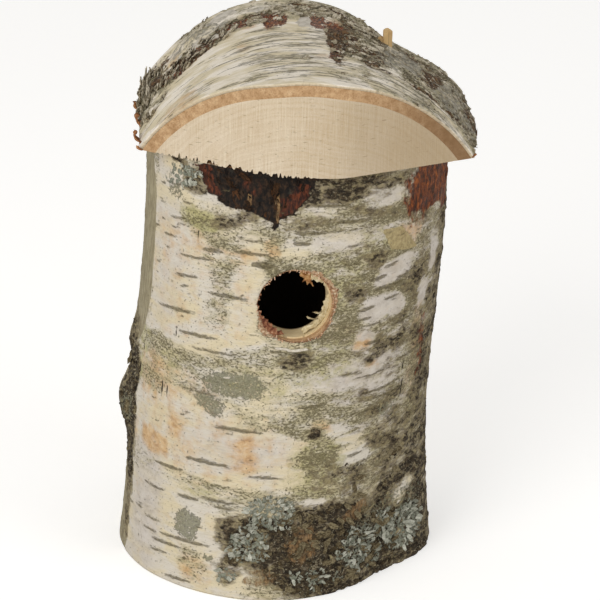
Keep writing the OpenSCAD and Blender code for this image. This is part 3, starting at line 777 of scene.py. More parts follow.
ROOF_RUST = (
    (-36, 28, 9, 7, 10, 0.66, 5), (-19, 24, 3.2, 13, 0, 0.80, 3), (-13, 26, 4, 11, 0, 0.84, 3),
    (6, 22, 4, 12, 4, 0.90, 4), (14, 24, 6, 6, 0, 0.62, 5), (13, -22, 2.6, 14, 0, 0.55, 3),
    (-70, 8, 5, 8, 0, 0.55, 4), (-54, 20, 6, 4, 0, 0.55, 4),
)
ROOF_GREY = (
    (54, 20, 12, 26, -6, 0.74, 8), (84, 0, 18, 30, 6, 0.58, 12), (66, -48, 32, 20, 0, 0.30, 14),
    (-58, 40, 20, 10, 0, 0.5, 8), (-86, 18, 10, 12, 0, 0.5, 8), (40, -8, 7, 16, 0, 0.6, 8),
)
ROOF_CLEAN = (
    (0, 19, 3.4, 10, 0, 1.0, 2), (-41, 50, 6, 6, 0, 0.8, 3), (-22, 44, 8, 4, 0, 0.6, 4),
    (-56, 28, 4, 5, 10, 0.7, 3), (-47, 24, 3, 4, 0, 0.7, 3), (-68, 26, 3, 5, 0, 0.6, 3),
)
# The grey streaks along the front of the roof
ROOF_SLITS = (
    (-46, -37, -16, -35, 0.6), (-26, -39, 6, -38, 0.8), (-30, -52, -4, -51, 0.6),
    (-10, -49.5, 12, -48, 0.7), (-30, -61, 6, -60, 0.6), (-50, -24, -30, -23.5, 0.6),
    (-32, -20, -16, -18, 0.7), (-12, -19, 10, -15, 0.7), (-26, -11, -8, -9, 0.7), (-38, -3, -18, -1, 0.7),
    (-5, -68, 20, -67.5, 0.6), (0, -64, 16, -64, 0.6), (-66, -53, -50, -53.6, 0.4), (24, -65, 46, -63, 0.7),
    (30, -57, 52, -54, 0.6), (36, -47, 66, -43, 0.8), (50, -37, 84, -35, 0.9), (46, -56, 70, -52, 0.6),
    (60, -50, 84, -46, 0.7), (10, -71.5, 34, -71, 0.5), (-22, -71, 2, -71, 0.5), (-44, -63, -26, -65, 0.5),
    (28, -36, 44, -37, 0.8), (66, -24, 96, -22, 0.8),
)


def torn_ring(s, z):
    """Where the drill tore the bark round the entrance: a thin ring that is wider in some directions."""
    direction = math.degrees(math.atan2(ENTRANCE[1], ENTRANCE[0] - log_x(ENTRANCE[2])))
    right, up = s - math.radians(direction + 90) * LOG_R, z - ENTRANCE[2]
    around, reach = np.degrees(np.arctan2(up, right)), np.hypot(right, up)
    wide = 0.1 + 2.4 * hump(around, 22, 26) + 1.6 * hump(around, -38, 22)
    wide += 3.0 * hump(around, -138, 15) + 2.2 * hump(around, 62, 12)
    return smooth(0.5 + (ENTRANCE_R + 1.2 + wide + 0.9 * noise(s / 2, z / 2, 311, 3) - reach) / 1.6)


def log_fields(s, z):
    """The painted fields of the log's bark at places on it."""
    rng = np.random.default_rng(7)
    warp_s = s + 4.0 * noise(s / 16, z / 10, 11, 4) + 1.0 * noise(s / 3, z / 3, 14, 2)
    warp_z = z + 2.4 * noise(s / 16, z / 10, 21, 4) + 0.8 * noise(s / 3, z / 3, 24, 2)
    mottle = noise(s / 15, z / 5, 17, 4, 0.6)
    blotch = noise(s / 11, z / 6, 27, 4, 0.6)
    slits = list(LOG_SLITS)
    slits += scatter_dashes(rng, 130, (-190, -122), (2, 222), (5, 24), (0.35, 0.9), 0.02)
    slits += scatter_dashes(rng, 110, (112, 190), (2, 222), (5, 22), (0.35, 0.9), 0.02)
    slits += scatter_dashes(rng, 110, (-84, 100), (2, 222), (2, 6), (0.2, 0.4), 0.03)
    ragged = noise(s / 4, z / 4, 37, 3)
    plates = draw_outlines(0 * s, s + 3.4 * ragged, z + 2.4 * mottle, LOG_PLATES)
    algae = paint(0.5, warp_s, warp_z, LOG_ALGAE) * (1 - 0.8 * plates)
    dark = paint(0.0, warp_s, warp_z, LOG_DARK_AND_SHADE) * (1 - plates)
    return {
        "algae": algae + 0.55 * mottle * (0.25 + algae),
        "dark": dark + 0.55 * blotch * np.clip(3 * dark, 0, 1),
        "tan_skin": paint(0.0, s + (0.7 + 4 * (z < 85)) * noise(s / 5, z / 6 + s / 5, 41, 4), z, LOG_TAN),
        "stain": paint(0.0, warp_s, warp_z, LOG_STAIN) + 0.35 * noise(s / 3, z / 9, 57, 3),
        "rust": paint(0.0, warp_s, warp_z, LOG_RUST),
        "scar": draw_outlines(0 * s, s + 5.0 * ragged, z + 4.0 * mottle, LOG_SCAR),
        "red": draw_outlines(0 * s, s + 3.0 * ragged, z + 3.0 * mottle, LOG_RED),
        "ochre": draw_outlines(0 * s, s + 0.5 * ragged, z, LOG_OCHRE),
        "tan_patch": draw_outlines(0 * s, s + 0.4 * ragged, z, LOG_TAN_PATCH),
        "moss": paint(0.0, warp_s, warp_z, LOG_MOSS),
        "grey": paint(0.0, warp_s, warp_z, LOG_GREY),
        "blue": paint(0.0, warp_s, warp_z, LOG_BLUE),
        "lilac": paint(0.1, s, z, LOG_LILAC),
        "clean": draw_outlines(0 * s, s + 0.6 * ragged, z + 0.5 * blotch, LOG_CLEAN),
        "torn": torn_ring(s, z),
        "slits": draw_dashes(s, z + 0.5 * noise(s / 4, z / 9, 51, 2), slits, 0.9, 0.14),
        "cracks": draw_dashes(s + 0.6 * noise(s / 9, z / 3, 61, 2), z, LOG_CRACKS, 0.6),
    }


def log_relief(s, z, fields):
    """How far the real bark stands out from the smooth log, in millimetres."""
    dark = step_up(fields["dark"], 0.5, 0.35)
    rough = 1 - ridges(s / 9, z / 7, 81, 4)
    relief = 0.35 * noise(s / 34, z / 30, 91, 3) + 0.12 * noise(s / 9, z / 1.6, 95, 2)
    relief += 0.25 * step_up(fields["algae"], 0.3, 0.5) * noise(s / 2.6, z / 2.2, 101, 3)
    relief += dark * (0.8 * noise(s / 6, z / 4.5, 111, 4) + 0.45 - 1.1 * step_up(rough, 0.62, 0.3))
    relief += 0.25 * step_up(fields["slits"], 0.35, 0.4)
    relief -= 0.8 * step_up(fields["cracks"], 0.3, 0.5)
    relief += 0.3 * step_up(fields["grey"], 0.4, 0.3) + 0.35 * step_up(fields["blue"], 0.4, 0.3)
    relief -= step_up(fields["scar"], 0.3, 0.5) * (0.75 + 0.9 * noise(s / 4.5, z / 9, 121, 4))
    relief += step_up(fields["rust"], 0.3, 0.4) * 0.7 * noise(s / 4, z / 7, 131, 4)
    relief -= 0.35 * step_up(fields["tan_skin"], 0.35, 0.3)
    relief += 0.6 * step_up(fields["clean"], 0.4, 0.3)
    relief += 0.5 * step_up(fields["torn"], 0.4, 0.4) * noise(s / 1.6, z / 1.6, 141, 3)
    return np.clip(relief, -1.25, 1.3)


def roof_fields(u, y):
    """The painted fields of the roof's bark at places on it."""
    rng = np.random.default_rng(9)
    warp_u = u + 3.4 * noise(u / 12, y / 12, 211, 4) + 1.0 * noise(u / 3, y / 3, 214, 2)
    warp_y = y + 3.4 * noise(u / 12, y / 12, 221, 4) + 1.0 * noise(u / 3, y / 3, 224, 2)
    mottle = noise(u / 9, y / 9, 231, 4, 0.6)
    blotch = noise(u / 7, y / 10, 237, 4, 0.6)
    slits = list(ROOF_SLITS) + scatter_dashes(rng, 150, (-96, 92), (-74, 0), (4, 16), (0.25, 0.5), 0.08)
    slits += scatter_dashes(rng, 120, (-40, 30), (-62, 14), (8, 22), (0.2, 0.45), 0.09)
    algae = paint(0.10, warp_u, warp_y, ROOF_ALGAE)
    dark = paint(0.0, warp_u, warp_y, ROOF_DARK)
    return {
        "algae": algae + 0.6 * mottle * (0.2 + algae),
        "dark": dark + 0.6 * blotch * np.clip(3 * dark + 0.5 * (algae > 0.4), 0, 1),
        "stain": paint(0.0, warp_u, warp_y, ROOF_STAIN),
        "rust": paint(0.0, warp_u, warp_y, ROOF_RUST),
        "grey": paint(0.0, warp_u, warp_y, ROOF_GREY),
        "clean": paint(0.0, warp_u, warp_y, ROOF_CLEAN),
        "slits": draw_dashes(u, y + 0.8 * noise(u / 5, y / 9, 251, 2), slits),
    }


def roof_relief(u, y, fields):
    """How far the real bark stands out from the smooth roof, in millimetres."""
    rough = step_up(fields["algae"] + 0.2 * noise(u / 6, y / 6, 261, 3), 0.4, 0.3)
    dark = step_up(fields["dark"], 0.4, 0.3)
    valleys = 1 - ridges(u / 8, y / 11, 271, 4)
    relief = 0.4 * noise(u / 30, y / 30, 281, 3) + 0.10 * noise(u / 9, y / 1.8, 285, 2)
    relief += rough * (1.0 * noise(u / 5, y / 6, 291, 4) + 0.3 - 0.9 * step_up(valleys, 0.6, 0.3))
    relief -= 0.6 * dark * (1 - 0.5 * rough)
    relief += 0.12 * step_up(fields["slits"], 0.35, 0.4) + 0.45 * step_up(fields["clean"], 0.4, 0.3)
    relief -= step_up(fields["rust"], 0.4, 0.3) * (0.5 + 0.4 * noise(u / 4, y / 5, 295, 3))
    return np.clip(relief, -1.25, 1.3)


LOG_COVER = (log_place, log_flat, log_fields, log_relief)
ROOF_COVER = (roof_place, roof_flat, roof_fields, roof_relief)


def bark_at(cover, p, q):
    """The bark at some places: where they lie when it is unrolled, its painted fields, the points of its
    inner skin and of its outer one with its relief, and the way out."""
    place, flat, fields_of, relief_of = cover
    a, b = flat(p, q)
    fields = fields_of(a, b)
    surface, under = place(p, q, 0.0), place(p, q, BARK_T)
    out = unit(surface - under)
    return a, b, fields, under, surface + relief_of(a, b, fields)[:, None] * out, out


def bark_skin(cover, across, along, wide, tall, loops, lowest=0.0):
    """The points, faces and painted fields of a sheet of bark."""
    at, inner, faces = bark_sheet(across, along, wide, tall, loops)
    a, b, fields, under, raised, out = bark_at(cover, at[:, 0], at[:, 1])
    points = np.where(inner[:, None], under, raised)
    points[:, 2] = np.maximum(points[:, 2], lowest)
    fields["flat_mm"] = np.stack([a, b, 0 * a], 1)
    fields["rim"] = inner.astype(float)
    return in_box(points), faces, fields


def new_material(name):
    """A new material, with its node tree and its shader."""
    material = bpy.data.materials.new(name)
    material.use_nodes = True
    return material, material.node_tree, material.node_tree.nodes["Principled BSDF"]


def fill_ramp(ramp, positions, colours):
    """Gives a colour ramp its stops, whose colours are one text with spaces between them."""
    stops = ramp.color_ramp.elements
    stops[0].position, stops[1].position = positions[0], positions[-1]
    for position in positions[1:-1]:
        stops.new(position)
    for stop, hex_colour in zip(stops, colours.split()):
        stop.color = opaque(hex_colour)


def lay_over(tree, colour, over, value, low, high, most=1.0, least=0.0, soft=False):
    """Lays one colour over another, whose share goes from least to most as a value goes from low to high."""
    share = node(tree, "ShaderNodeMapRange", {
        "Value": value, "From Min": low, "From Max": high, "To Min": least, "To Max": most},
        interpolation_type="SMOOTHSTEP" if soft else "LINEAR")
    return node(tree, "ShaderNodeMix", {"Factor": share, "A": colour, "B": over}, data_type="RGBA")


# The grains that every bark has: the size of their spots along and across it in mm, detail and roughness
BARK_GRAINS = {
    "broad": (26, 11, 5, 0.62), "streak": (8, 0.8, 4, 0.62), "dots": (1.5, 0.6, 4, 0.7),
    "fine": (5, 0.7, 3, 0.6), "torn": (1.2, 0.8, 3, 0.6)}


def bark_shader(name, white, sizes, layers, bump_depth, rim_dark, rim_light):
    """A bark material: a pale ground with fine streaks, under ragged layers where a painted field says."""
    material, tree, shader = new_material(name)
    place = node(tree, "ShaderNodeAttribute", attribute_name="flat_mm").outputs["Vector"]
    grains = dict(BARK_GRAINS)
    for layer in layers:
        along, across = layer.grain
        if not layer.lobes:
            grains[layer.name + " edge"] = (along, across, 7, 0.66)
        grains[layer.name + " shade"] = (0.6 * along, 0.8 * across, 6, 0.7)
    for seed, (key, (along, across, detail, rough)) in enumerate(grains.items()):
        moved = node(tree, "ShaderNodeMapping", {
            "Vector": place, "Scale": (1 / along, 1 / across, 1), "Location": (seed * 3.7, seed * 5.1, 0)})
        made = node(tree, "ShaderNodeTexNoise", {
            "Vector": moved, "Scale": 1.0, "Detail": detail, "Roughness": rough,
            "Distortion": 0.3}, noise_dimensions="2D")
        grains[key] = made.outputs["Fac"]
    swirl = node(tree, "ShaderNodeTexNoise", {
        "Vector": place, "Scale": 0.25, "Detail": 3.0}, noise_dimensions="2D")
    swirled = node(tree, "ShaderNodeVectorMath", {
        0: swirl.outputs["Color"], 1: (5, 5, 0), 2: place}, operation="MULTIPLY_ADD")

    colour = lay_over(tree, (*white, 1), (*sizes.cream, 1), grains["broad"], 0.38, 0.62, soft=True)
    streak = node(tree, "ShaderNodeMapRange", {
        "Value": grains["streak"], "From Min": 0.45, "From Max": 0.75, "To Max": 0.40})
    colour = node(tree, "ShaderNodeMix", {
        "Factor": streak, "A": colour, "B": (*sizes.streak, 1)}, data_type="RGBA")
    colour = lay_over(tree, colour, (*sizes.speck, 1), grains["dots"], 0.62, 0.74, 0.45)
    roughness = node(tree, "ShaderNodeMath", {0: streak, 1: 0.2, 2: 0.62}, operation="MULTIPLY_ADD")
    height = node(tree, "ShaderNodeMath", {0: grains["fine"], 1: 0.4, 2: 0.0}, operation="MULTIPLY_ADD")
    for layer in layers:
        painted = node(tree, "ShaderNodeAttribute", attribute_name=layer.field).outputs["Fac"]
        shade = grains[layer.name + " shade"]
        if layer.lobes:
            # Each cell is one lobe, and a cell shows or not as a whole.
            cells = node(tree, "ShaderNodeTexVoronoi", {
                "Vector": swirled, "Scale": 1 / layer.lobes}, voronoi_dimensions="2D")
            parts = node(tree, "ShaderNodeSeparateColor", {"Color": cells.outputs["Color"]})
            edge_grain = parts.outputs["Red"]
            fading = node(tree, "ShaderNodeMapRange", {
                "Value": cells.outputs["Distance"], "From Min": 0.40, "From Max": 0.62, "To Min": 1.0,
                "To Max": 0.0})
            shade = node(tree, "ShaderNodeMath", {
                0: edge_grain, 1: 0.25, 2: shade}, operation="MULTIPLY_ADD")
        else:
            edge_grain, fading = grains[layer.name + " edge"], 1.0
        broken = node(tree, "ShaderNodeMath", {
            0: edge_grain, 1: layer.broken, 2: -layer.broken / 2}, operation="MULTIPLY_ADD")
        level = node(tree, "ShaderNodeMath", {0: painted, 1: broken}, operation="ADD")
        shown = node(tree, "ShaderNodeMapRange", {
            "Value": level, "From Min": layer.level - layer.soft,
            "From Max": layer.level + layer.soft, "To Max": layer.most},
            interpolation_type="SMOOTHSTEP")
        cover = node(tree, "ShaderNodeMath", {0: shown, 1: fading}, operation="MULTIPLY")
        ramp = node(tree, "ShaderNodeValToRGB", {"Fac": shade})
        fill_ramp(ramp, (0.36, 0.50, 0.66), layer.colours)
        colour = node(tree, "ShaderNodeMix", {
            "Factor": cover, "A": colour, "B": ramp.outputs["Color"]}, data_type="RGBA")
        roughness = node(tree, "ShaderNodeMix", {"Factor": cover, "A": roughness, "B": layer.rough})
        own_height = node(tree, "ShaderNodeMath", {
            0: shade, 1: 1.6, 2: layer.rise}, operation="MULTIPLY_ADD")
        height = node(tree, "ShaderNodeMix", {"Factor": cover, "A": height, "B": own_height})
    # The torn and sawn edges show the inside of the bark.
    rim = node(tree, "ShaderNodeAttribute", attribute_name="rim").outputs["Fac"]
    torn = node(tree, "ShaderNodeMix", {
        "Factor": grains["torn"], "A": opaque(rim_dark), "B": opaque(rim_light)}, data_type="RGBA")
    colour = lay_over(tree, colour, torn, rim, 0.1, 0.45)
    bump = node(tree, "ShaderNodeBump", {"Height": height, "Strength": 1.0, "Distance": bump_depth * MM})
    fill(tree, shader, {"Base Color": colour, "Roughness": roughness, "Normal": bump,
                        "Specular IOR Level": 0.25})
    return material


# Layers of the bark from the lowest to the top one. Each has the field that says where it lies, its dark,
# middle and light colours, the size of its grain along and across the bark in mm, how much the grain breaks
# its edge, the level of the field at which it starts, how soft that edge is, how far it covers at most, its
# roughness and how far it stands out. A layer with lobes is made of small cells of that size in mm.
Layer = namedtuple(
    "Layer", "name field colours grain broken level soft most rough rise lobes", defaults=(0,))
LOG_LAYERS = (
    Layer("lilac tint", "lilac", "#b0a69c #c2b9af #cdc5bd", (14, 7), 0.8, 0.5, 0.4, 0.8, 0.66, 0.0),
    Layer("warm stain", "stain", "#a97e4c #c69d6a #d7b88b", (9, 5), 1.3, 0.62, 0.50, 0.85, 0.70, 0.0),
    Layer("algae film", "algae", "#8d8362 #aba17e #c0b594", (7, 3), 1.3, 0.50, 0.28, 0.85, 0.82, 0.1),
    Layer("moss film", "moss", "#8b8752 #a8a06a #bdb582", (6, 4), 1.2, 0.55, 0.30, 0.75, 0.9, 0.2),
    Layer("algae specks", "algae", "#564e38 #756b4e #8f8564", (1.7, 0.95), 2.6, 0.70, 0.09, 0.85, 0.9, 0.4),
    Layer("tan patch", "tan_patch", "#94835c #a9976c #b9a87c", (3, 3), 0.2, 0.5, 0.10, 0.92, 0.8, 0.3),
    Layer("tan strip", "tan_skin", "#7a6f52 #9a8f72 #b3a88a", (1.6, 12), 0.25, 0.5, 0.12, 0.95, 0.74, 0.0),
    # On the right of the log the brown film and the dark bark are partly painted shade.
    Layer("brown film", "dark", "#54483a #75684e #958862", (6, 3), 1.3, 0.42, 0.22, 0.85, 0.88, 0.2),
    Layer("dark bark", "dark", "#120d09 #2f261b #5d4f3b", (3.5, 2.2), 1.5, 0.72, 0.14, 0.95, 0.92, 0.3),
    Layer("pale crumbs", "dark", "#84795f #a1967a #bdb299", (1.6, 1.2), 3.2, 1.32, 0.10, 0.85, 0.9, 0.7),
    Layer("flat lichen", "grey", "#6b6751 #828068 #9a967e", (1.7, 1.5), 2.9, 0.52, 0.12, 0.8, 0.86, 0.5),
    Layer("red bark", "rust", "#1f0b04 #58240c #97501b", (4, 6), 1.2, 0.46, 0.16, 0.95, 0.70, 0.2),
    Layer("branch scar", "scar", "#0b0805 #1d140d #3f2d1e", (4, 4), 1.5, 0.5, 0.18, 1.0, 0.78, 0.0),
    Layer("red flank", "red", "#1a0c07 #442011 #733a20", (3, 6), 1.2, 0.55, 0.20, 0.95, 0.66, 0.1),
    Layer("brown slivers", "ochre", "#4c3720 #806240 #a3845a", (2.0, 4), 0.8, 0.5, 0.15, 0.9, 0.75, 0.4),
    Layer("lobed lichen", "blue", "#4d4e40 #6f7263 #8c8e7d", (2, 2), 1.1, 0.62, 0.10, 1.0, 0.9, 0.9, 2.1),
    Layer("torn bark", "torn", "#7a4a34 #b98f6b #e0cdb0", (2.2, 1.8), 1.8, 0.6, 0.20, 0.85, 0.8, 0.7),
    Layer("slits", "slits", "#3a3222 #5f553c #8b7f5e", (3.2, 1.0), 1.3, 0.52, 0.24, 0.80, 0.86, 0.5),
    Layer("cracks", "cracks", "#0f0b08 #1d1610 #2f251b", (1.6, 1.6), 0.6, 0.5, 0.14, 0.9, 0.9, -0.6),
    Layer("torn paper", "clean", "#c7bba5 #d8cebd #e2dacb", (3, 1.6), 0.5, 0.5, 0.08, 1.0, 0.7, 0.5),
)
ROOF_LAYERS = (
    Layer("warm stain", "stain", "#a1713f #bf9566 #d0ad80", (8, 6), 1.1, 0.55, 0.36, 0.8, 0.72, 0.0),
    Layer("algae film", "algae", "#7d7458 #a09778 #b9b098", (6, 4), 1.3, 0.48, 0.24, 0.88, 0.86, 0.2),
    Layer("algae specks", "algae", "#3c3526 #5f553d #80765a", (2.4, 1.8), 2.4, 0.72, 0.10, 0.92, 0.9, -0.2),
    Layer("grey plates", "grey", "#746e60 #938d7e #aca697", (4, 5), 1.7, 0.52, 0.16, 0.9, 0.88, 0.5),
    Layer("dark bark", "dark", "#1c1209 #48331f #836243", (3.2, 3.6), 1.6, 0.56, 0.12, 0.96, 0.92, -0.3),
    Layer("red bark", "rust", "#1c0b06 #5c2c17 #a0643a", (2.2, 3), 2.2, 0.5, 0.10, 0.95, 0.66, 0.1),
    Layer("pale crumbs", "algae", "#8e856f #aaa28e #c6bfae", (2.2, 1.6), 3.0, 1.26, 0.10, 0.9, 0.88, 0.7),
    Layer("white pieces", "clean", "#b3aa9a #c8bfb0 #d5cdbf", (5, 4), 1.0, 0.5, 0.08, 1.0, 0.70, 0.4),
    Layer("slits", "slits", "#3d372a #645d4b #8d8674", (4, 0.9), 1.1, 0.5, 0.22, 0.8, 0.84, 0.2),
)


def wood_shader(name, light, dark, centre, lies_along, saw=0.0, weather_and_shade=0.0, chamber_shade=0.0):
    """Raw wood from a trunk whose heart runs through a centre in mm, along Z or along Y: growth rings round
    the heart, fibres along it, dark flecks, and the upright marks of a saw on its end."""
    material, tree, shader = new_material(name)
    place = node(tree, "ShaderNodeTexCoord").outputs["Object"]
    place = node(tree, "ShaderNodeMapping", {
        "Vector": place, "Location": tuple(-c for c in centre), "Scale": (1 / MM, 1 / MM, 1 / MM)})
    parts = node(tree, "ShaderNodeSeparateXYZ", {0: place}).outputs
    side, other, along = (parts[i] for i in ((0, 2, 1) if lies_along == "Y" else (0, 1, 2)))
    across = node(tree, "ShaderNodeCombineXYZ", {0: side, 1: other})
    ring = node(tree, "ShaderNodeVectorMath", {0: across}, operation="LENGTH").outputs["Value"]
    sway = node(tree, "ShaderNodeTexNoise", {"Vector": place, "Scale": 0.03, "Detail": 3.0}).outputs["Fac"]
    ring = node(tree, "ShaderNodeMath", {0: sway, 1: 9.0, 2: ring}, operation="MULTIPLY_ADD")
    rings = node(tree, "ShaderNodeTexNoise", {"W": ring, "Scale": 0.62, "Detail": 3.0}, noise_dimensions="1D")
    turned = node(tree, "ShaderNodeCombineXYZ", {0: side, 1: other, 2: along})
    drawn_out = node(tree, "ShaderNodeVectorMath", {0: turned, 1: (1.9, 1.9, 0.07)}, operation="MULTIPLY")
    fibres = node(tree, "ShaderNodeTexNoise", {"Vector": drawn_out, "Scale": 1.0, "Detail": 4.0})
    cloud = node(tree, "ShaderNodeTexNoise", {"Vector": place, "Scale": 0.045, "Detail": 4.0})
    tone = -0.03
    for grain, share in ((rings, 0.58), (fibres, 0.7), (cloud, 0.7)):
        tone = node(tree, "ShaderNodeMath", {
            0: grain.outputs["Fac"], 1: share, 2: tone}, operation="MULTIPLY_ADD")
    colour = lay_over(tree, opaque(light), opaque(dark), tone, 0.60, 1.30)
    height = fibres.outputs["Fac"]
    flattened = node(tree, "ShaderNodeVectorMath", {0: across, 1: (0.3, 1.5, 1)}, operation="MULTIPLY")
    flecks = node(tree, "ShaderNodeTexNoise", {"Vector": flattened, "Scale": 0.8, "Detail": 3.0})
    colour = lay_over(tree, colour, opaque("#7d6a4c"), flecks.outputs["Fac"], 0.64, 0.69, 0.6)
    if saw:
        scored = node(tree, "ShaderNodeMapping", {"Vector": across, "Scale": (1.7, 0.035, 1)})
        scores = node(tree, "ShaderNodeTexNoise", {
            "Vector": scored, "Scale": 1.0, "Detail": 3.0, "Roughness": 0.7},
            noise_dimensions="2D").outputs["Fac"]
        colour = lay_over(tree, colour, opaque("#eadfc6"), scores, 0.52, 0.70, 0.35 * saw)
        colour = lay_over(tree, colour, opaque("#a98a5c"), scores, 0.42, 0.28, 0.30 * saw)
        height = node(tree, "ShaderNodeMath", {0: scores, 1: 2.0, 2: height}, operation="MULTIPLY_ADD")
    if weather_and_shade:
        # Darker towards the right: partly weathered wood and partly painted shade on the side away from the
        # key light.
        colour = lay_over(tree, colour, opaque("#a08a6a"), side, -30.0, 62.0, weather_and_shade, soft=True)
    if chamber_shade:
        # Painted shade: the walls of the bored chamber are painted dark brown, and the bore of the entrance
        # keeps the wood's colour.
        away = node(tree, "ShaderNodeVectorMath", {
            0: across, 1: (0, CHAMBER_Y, 0)}, operation="DISTANCE").outputs["Value"]
        colour = lay_over(tree, colour, opaque("#2c1d10"), away, 52.4, 53.4, 0.0, chamber_shade)
    bump = node(tree, "ShaderNodeBump", {"Height": height, "Strength": 1.0, "Distance": 0.12 * MM})
    fill(tree, shader, {"Base Color": colour, "Normal": bump, "Roughness": 0.72,
                        "Specular IOR Level": 0.25})
    return material


def inner_bark_shader(name, age_and_shade):
    """The tan inner bark: dense orange-brown grains, paler and darker in thin layers, and darker towards the
    right, partly from age and partly as painted shade."""
    material, tree, shader = new_material(name)
    place = node(tree, "ShaderNodeTexCoord").outputs["Object"]
    grains = node(tree, "ShaderNodeTexNoise", {
        "Vector": place, "Scale": 1300.0, "Detail": 4.0, "Roughness": 0.7}).outputs["Fac"]
    cloud = node(tree, "ShaderNodeTexNoise", {
        "Vector": place, "Scale": 240.0, "Detail": 6.0, "Roughness": 0.7})
    ramp = node(tree, "ShaderNodeValToRGB", {"Fac": cloud.outputs["Fac"]})
    fill_ramp(ramp, (0.34, 0.50, 0.68), "#a27e57 #bd9971 #d3b38b")
    colour = lay_over(tree, ramp.outputs["Color"], opaque("#7f5937"), grains, 0.50, 0.68, 0.55)
    side = node(tree, "ShaderNodeSeparateXYZ", {0: place})
    # Darker towards the right: partly aged bark and partly painted shade on the side away from the key light.
    colour = lay_over(tree, colour, opaque("#75583b"), side, 0.025, 0.08, age_and_shade, soft=True)
    bump = node(tree, "ShaderNodeBump", {"Height": grains, "Strength": 1.0, "Distance": 0.3 * MM})
    fill(tree, shader, {"Base Color": colour, "Normal": bump, "Roughness": 0.85,
                        "Specular IOR Level": 0.2})
    return material


def zinc_shader(name):
    """Zinc-plated steel: a dull bluish grey with faint patches."""
    material, tree, shader = new_material(name)
    place = node(tree, "ShaderNodeTexCoord").outputs["Object"]
    cloud = node(tree, "ShaderNodeTexNoise", {
        "Vector": place, "Scale": 260.0, "Detail": 5.0, "Roughness": 0.6}).outputs["Fac"]
    colour = lay_over(tree, opaque("#a9adb0"), opaque("#c8cbcd"), cloud, 0.35, 0.65)
    rough = node(tree, "ShaderNodeMapRange", {"Value": cloud, "To Min": 0.28, "To Max": 0.52})
    fill(tree, shader, {"Base Color": colour, "Roughness": rough, "Metallic": 1.0})
    return material


def dress(name, material):
    """Gives a carried-over solid its finish."""
    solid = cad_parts[name]
    for slot in solid.material_slots:
        slot.material = material


def close_rings(rings):
    """Faces of a skin over closed rings of points, joined ring to ring."""
    count, around = rings.shape[:2]
    number = np.arange(count * around).reshape(count, around)
    return grid_faces(np.concatenate([number, number[:, :1]], 1))


def tidy_mesh(piece, caps=()):
    """Welds the points that lie on each other, closes the ends and turns the faces outward."""
    solid = bmesh.new()
    solid.from_mesh(piece.data)
    solid.verts.ensure_lookup_table()
    for cap in caps:
        solid.faces.new([solid.verts[i] for i in cap])
    bmesh.ops.remove_doubles(solid, verts=solid.verts, dist=1e-6)
    bmesh.ops.dissolve_degenerate(solid, edges=solid.edges, dist=1e-7)
    bmesh.ops.recalc_face_normals(solid, faces=solid.faces)
    solid.to_mesh(piece.data)
    solid.free()


def leaf(long, wide, thick, curl, cup, seed, columns=6, rows=5, torn=0.7):
    """A thin closed leaf in mm. It starts at the origin, widens along X, cups across and curls up at its
    end."""
    rings = []
    across = np.linspace(-1, 1, columns)
    for t in np.linspace(0, 1, rows):
        half = 0.5 * wide * (0.35 + 0.65 * math.sin(math.pi * min(1.0, 0.15 + 0.75 * t))) * (1 - 0.3 * t ** 6)
        turned = math.radians(curl) * t
        bend = long / math.radians(curl) if curl else 0
        x, z = (bend * math.sin(turned), bend * (1 - math.cos(turned))) if curl else (long * t, 0.0)
        ragged = torn * wide * noise(across * 2 + seed, np.full(columns, 3 * t), seed, 2) * t
        lift = cup * across ** 2 + 0.3 * thick * noise(across * 2, np.full(columns, 4 * t), seed + 3, 2)
        top = np.stack([x + ragged - lift * math.sin(turned), half * across, z + lift * math.cos(turned)], 1)
        down = np.array([math.sin(turned), 0, -math.cos(turned)]) * thick * (1 - 0.5 * t)
        rings.append(np.concatenate([top, (top + down)[::-1]]))
    return np.array(rings)


def leaf_shapes(name, long, wide, thick, curl, cup, seed, columns=6, rows=5):
    """Three unlike leaves as objects, to be strewn."""
    shapes = []
    for number in range(3):
        rings = leaf(long, wide * (1 - 0.12 * number), thick, curl, cup, seed + 7 * number, columns, rows)
        mesh = bpy.data.meshes.new(name)
        around = rings.shape[1]
        caps = [list(range(around)), list(range((len(rings) - 1) * around, len(rings) * around))]
        mesh.from_pydata((rings.reshape(-1, 3) * MM).tolist(), [], close_rings(rings).tolist() + caps)
        shapes.append(bpy.data.objects.new(name, mesh))
        tidy_mesh(shapes[-1])
    return shapes


def torn_plate(corners, thick, ragged, seed, step=0.5):
    """A thin closed plate with a torn outline, in the plane of its first two numbers, as points and faces."""
    loop = np.array(corners, float)
    edge = []
    for a, b in zip(loop, np.roll(loop, -1, 0)):
        count = max(2, round(np.linalg.norm(b - a) / step))
        edge += [a + (b - a) * i / count for i in range(count)]
    edge = np.array(edge)
    for size, width, first, octaves in ((ragged, step, 0, 2), (2 * ragged, 3, 1, 1)):
        edge = edge + size * np.stack(
            [noise(edge[:, 0] / width, edge[:, 1] / width, seed + first + i, octaves) for i in (0, 5)], 1)
    spots = [np.arange(low, high, 1.2 * step) for low, high in zip(edge.min(0), edge.max(0))]
    grid = np.stack(np.meshgrid(*spots), -1).reshape(-1, 2)
    grid = grid[inside(grid, edge) & (line_distance(grid, edge) >= 0.6 * step)]
    flat = np.concatenate([edge, grid])
    ring = loop_edges(len(edge))
    top = fill_between(flat, ring, [], range(len(edge), len(flat)))
    top = top[inside(flat[top].mean(1), edge)]
    count = len(flat)
    swell = np.where(np.arange(count) < len(edge), 0.3, 0.5) * thick
    wave = 0.5 * thick * noise(flat[:, 0] / 1.3, flat[:, 1] / 1.3, seed + 9, 3)
    points = np.concatenate([np.column_stack([flat, wave + swell]), np.column_stack([flat, wave - swell])])
    sides = np.stack([ring[:, 0], ring[:, 0] + count, ring[:, 1] + count, ring[:, 1]], 1)
    return points, [top, top[:, ::-1] + count, sides]


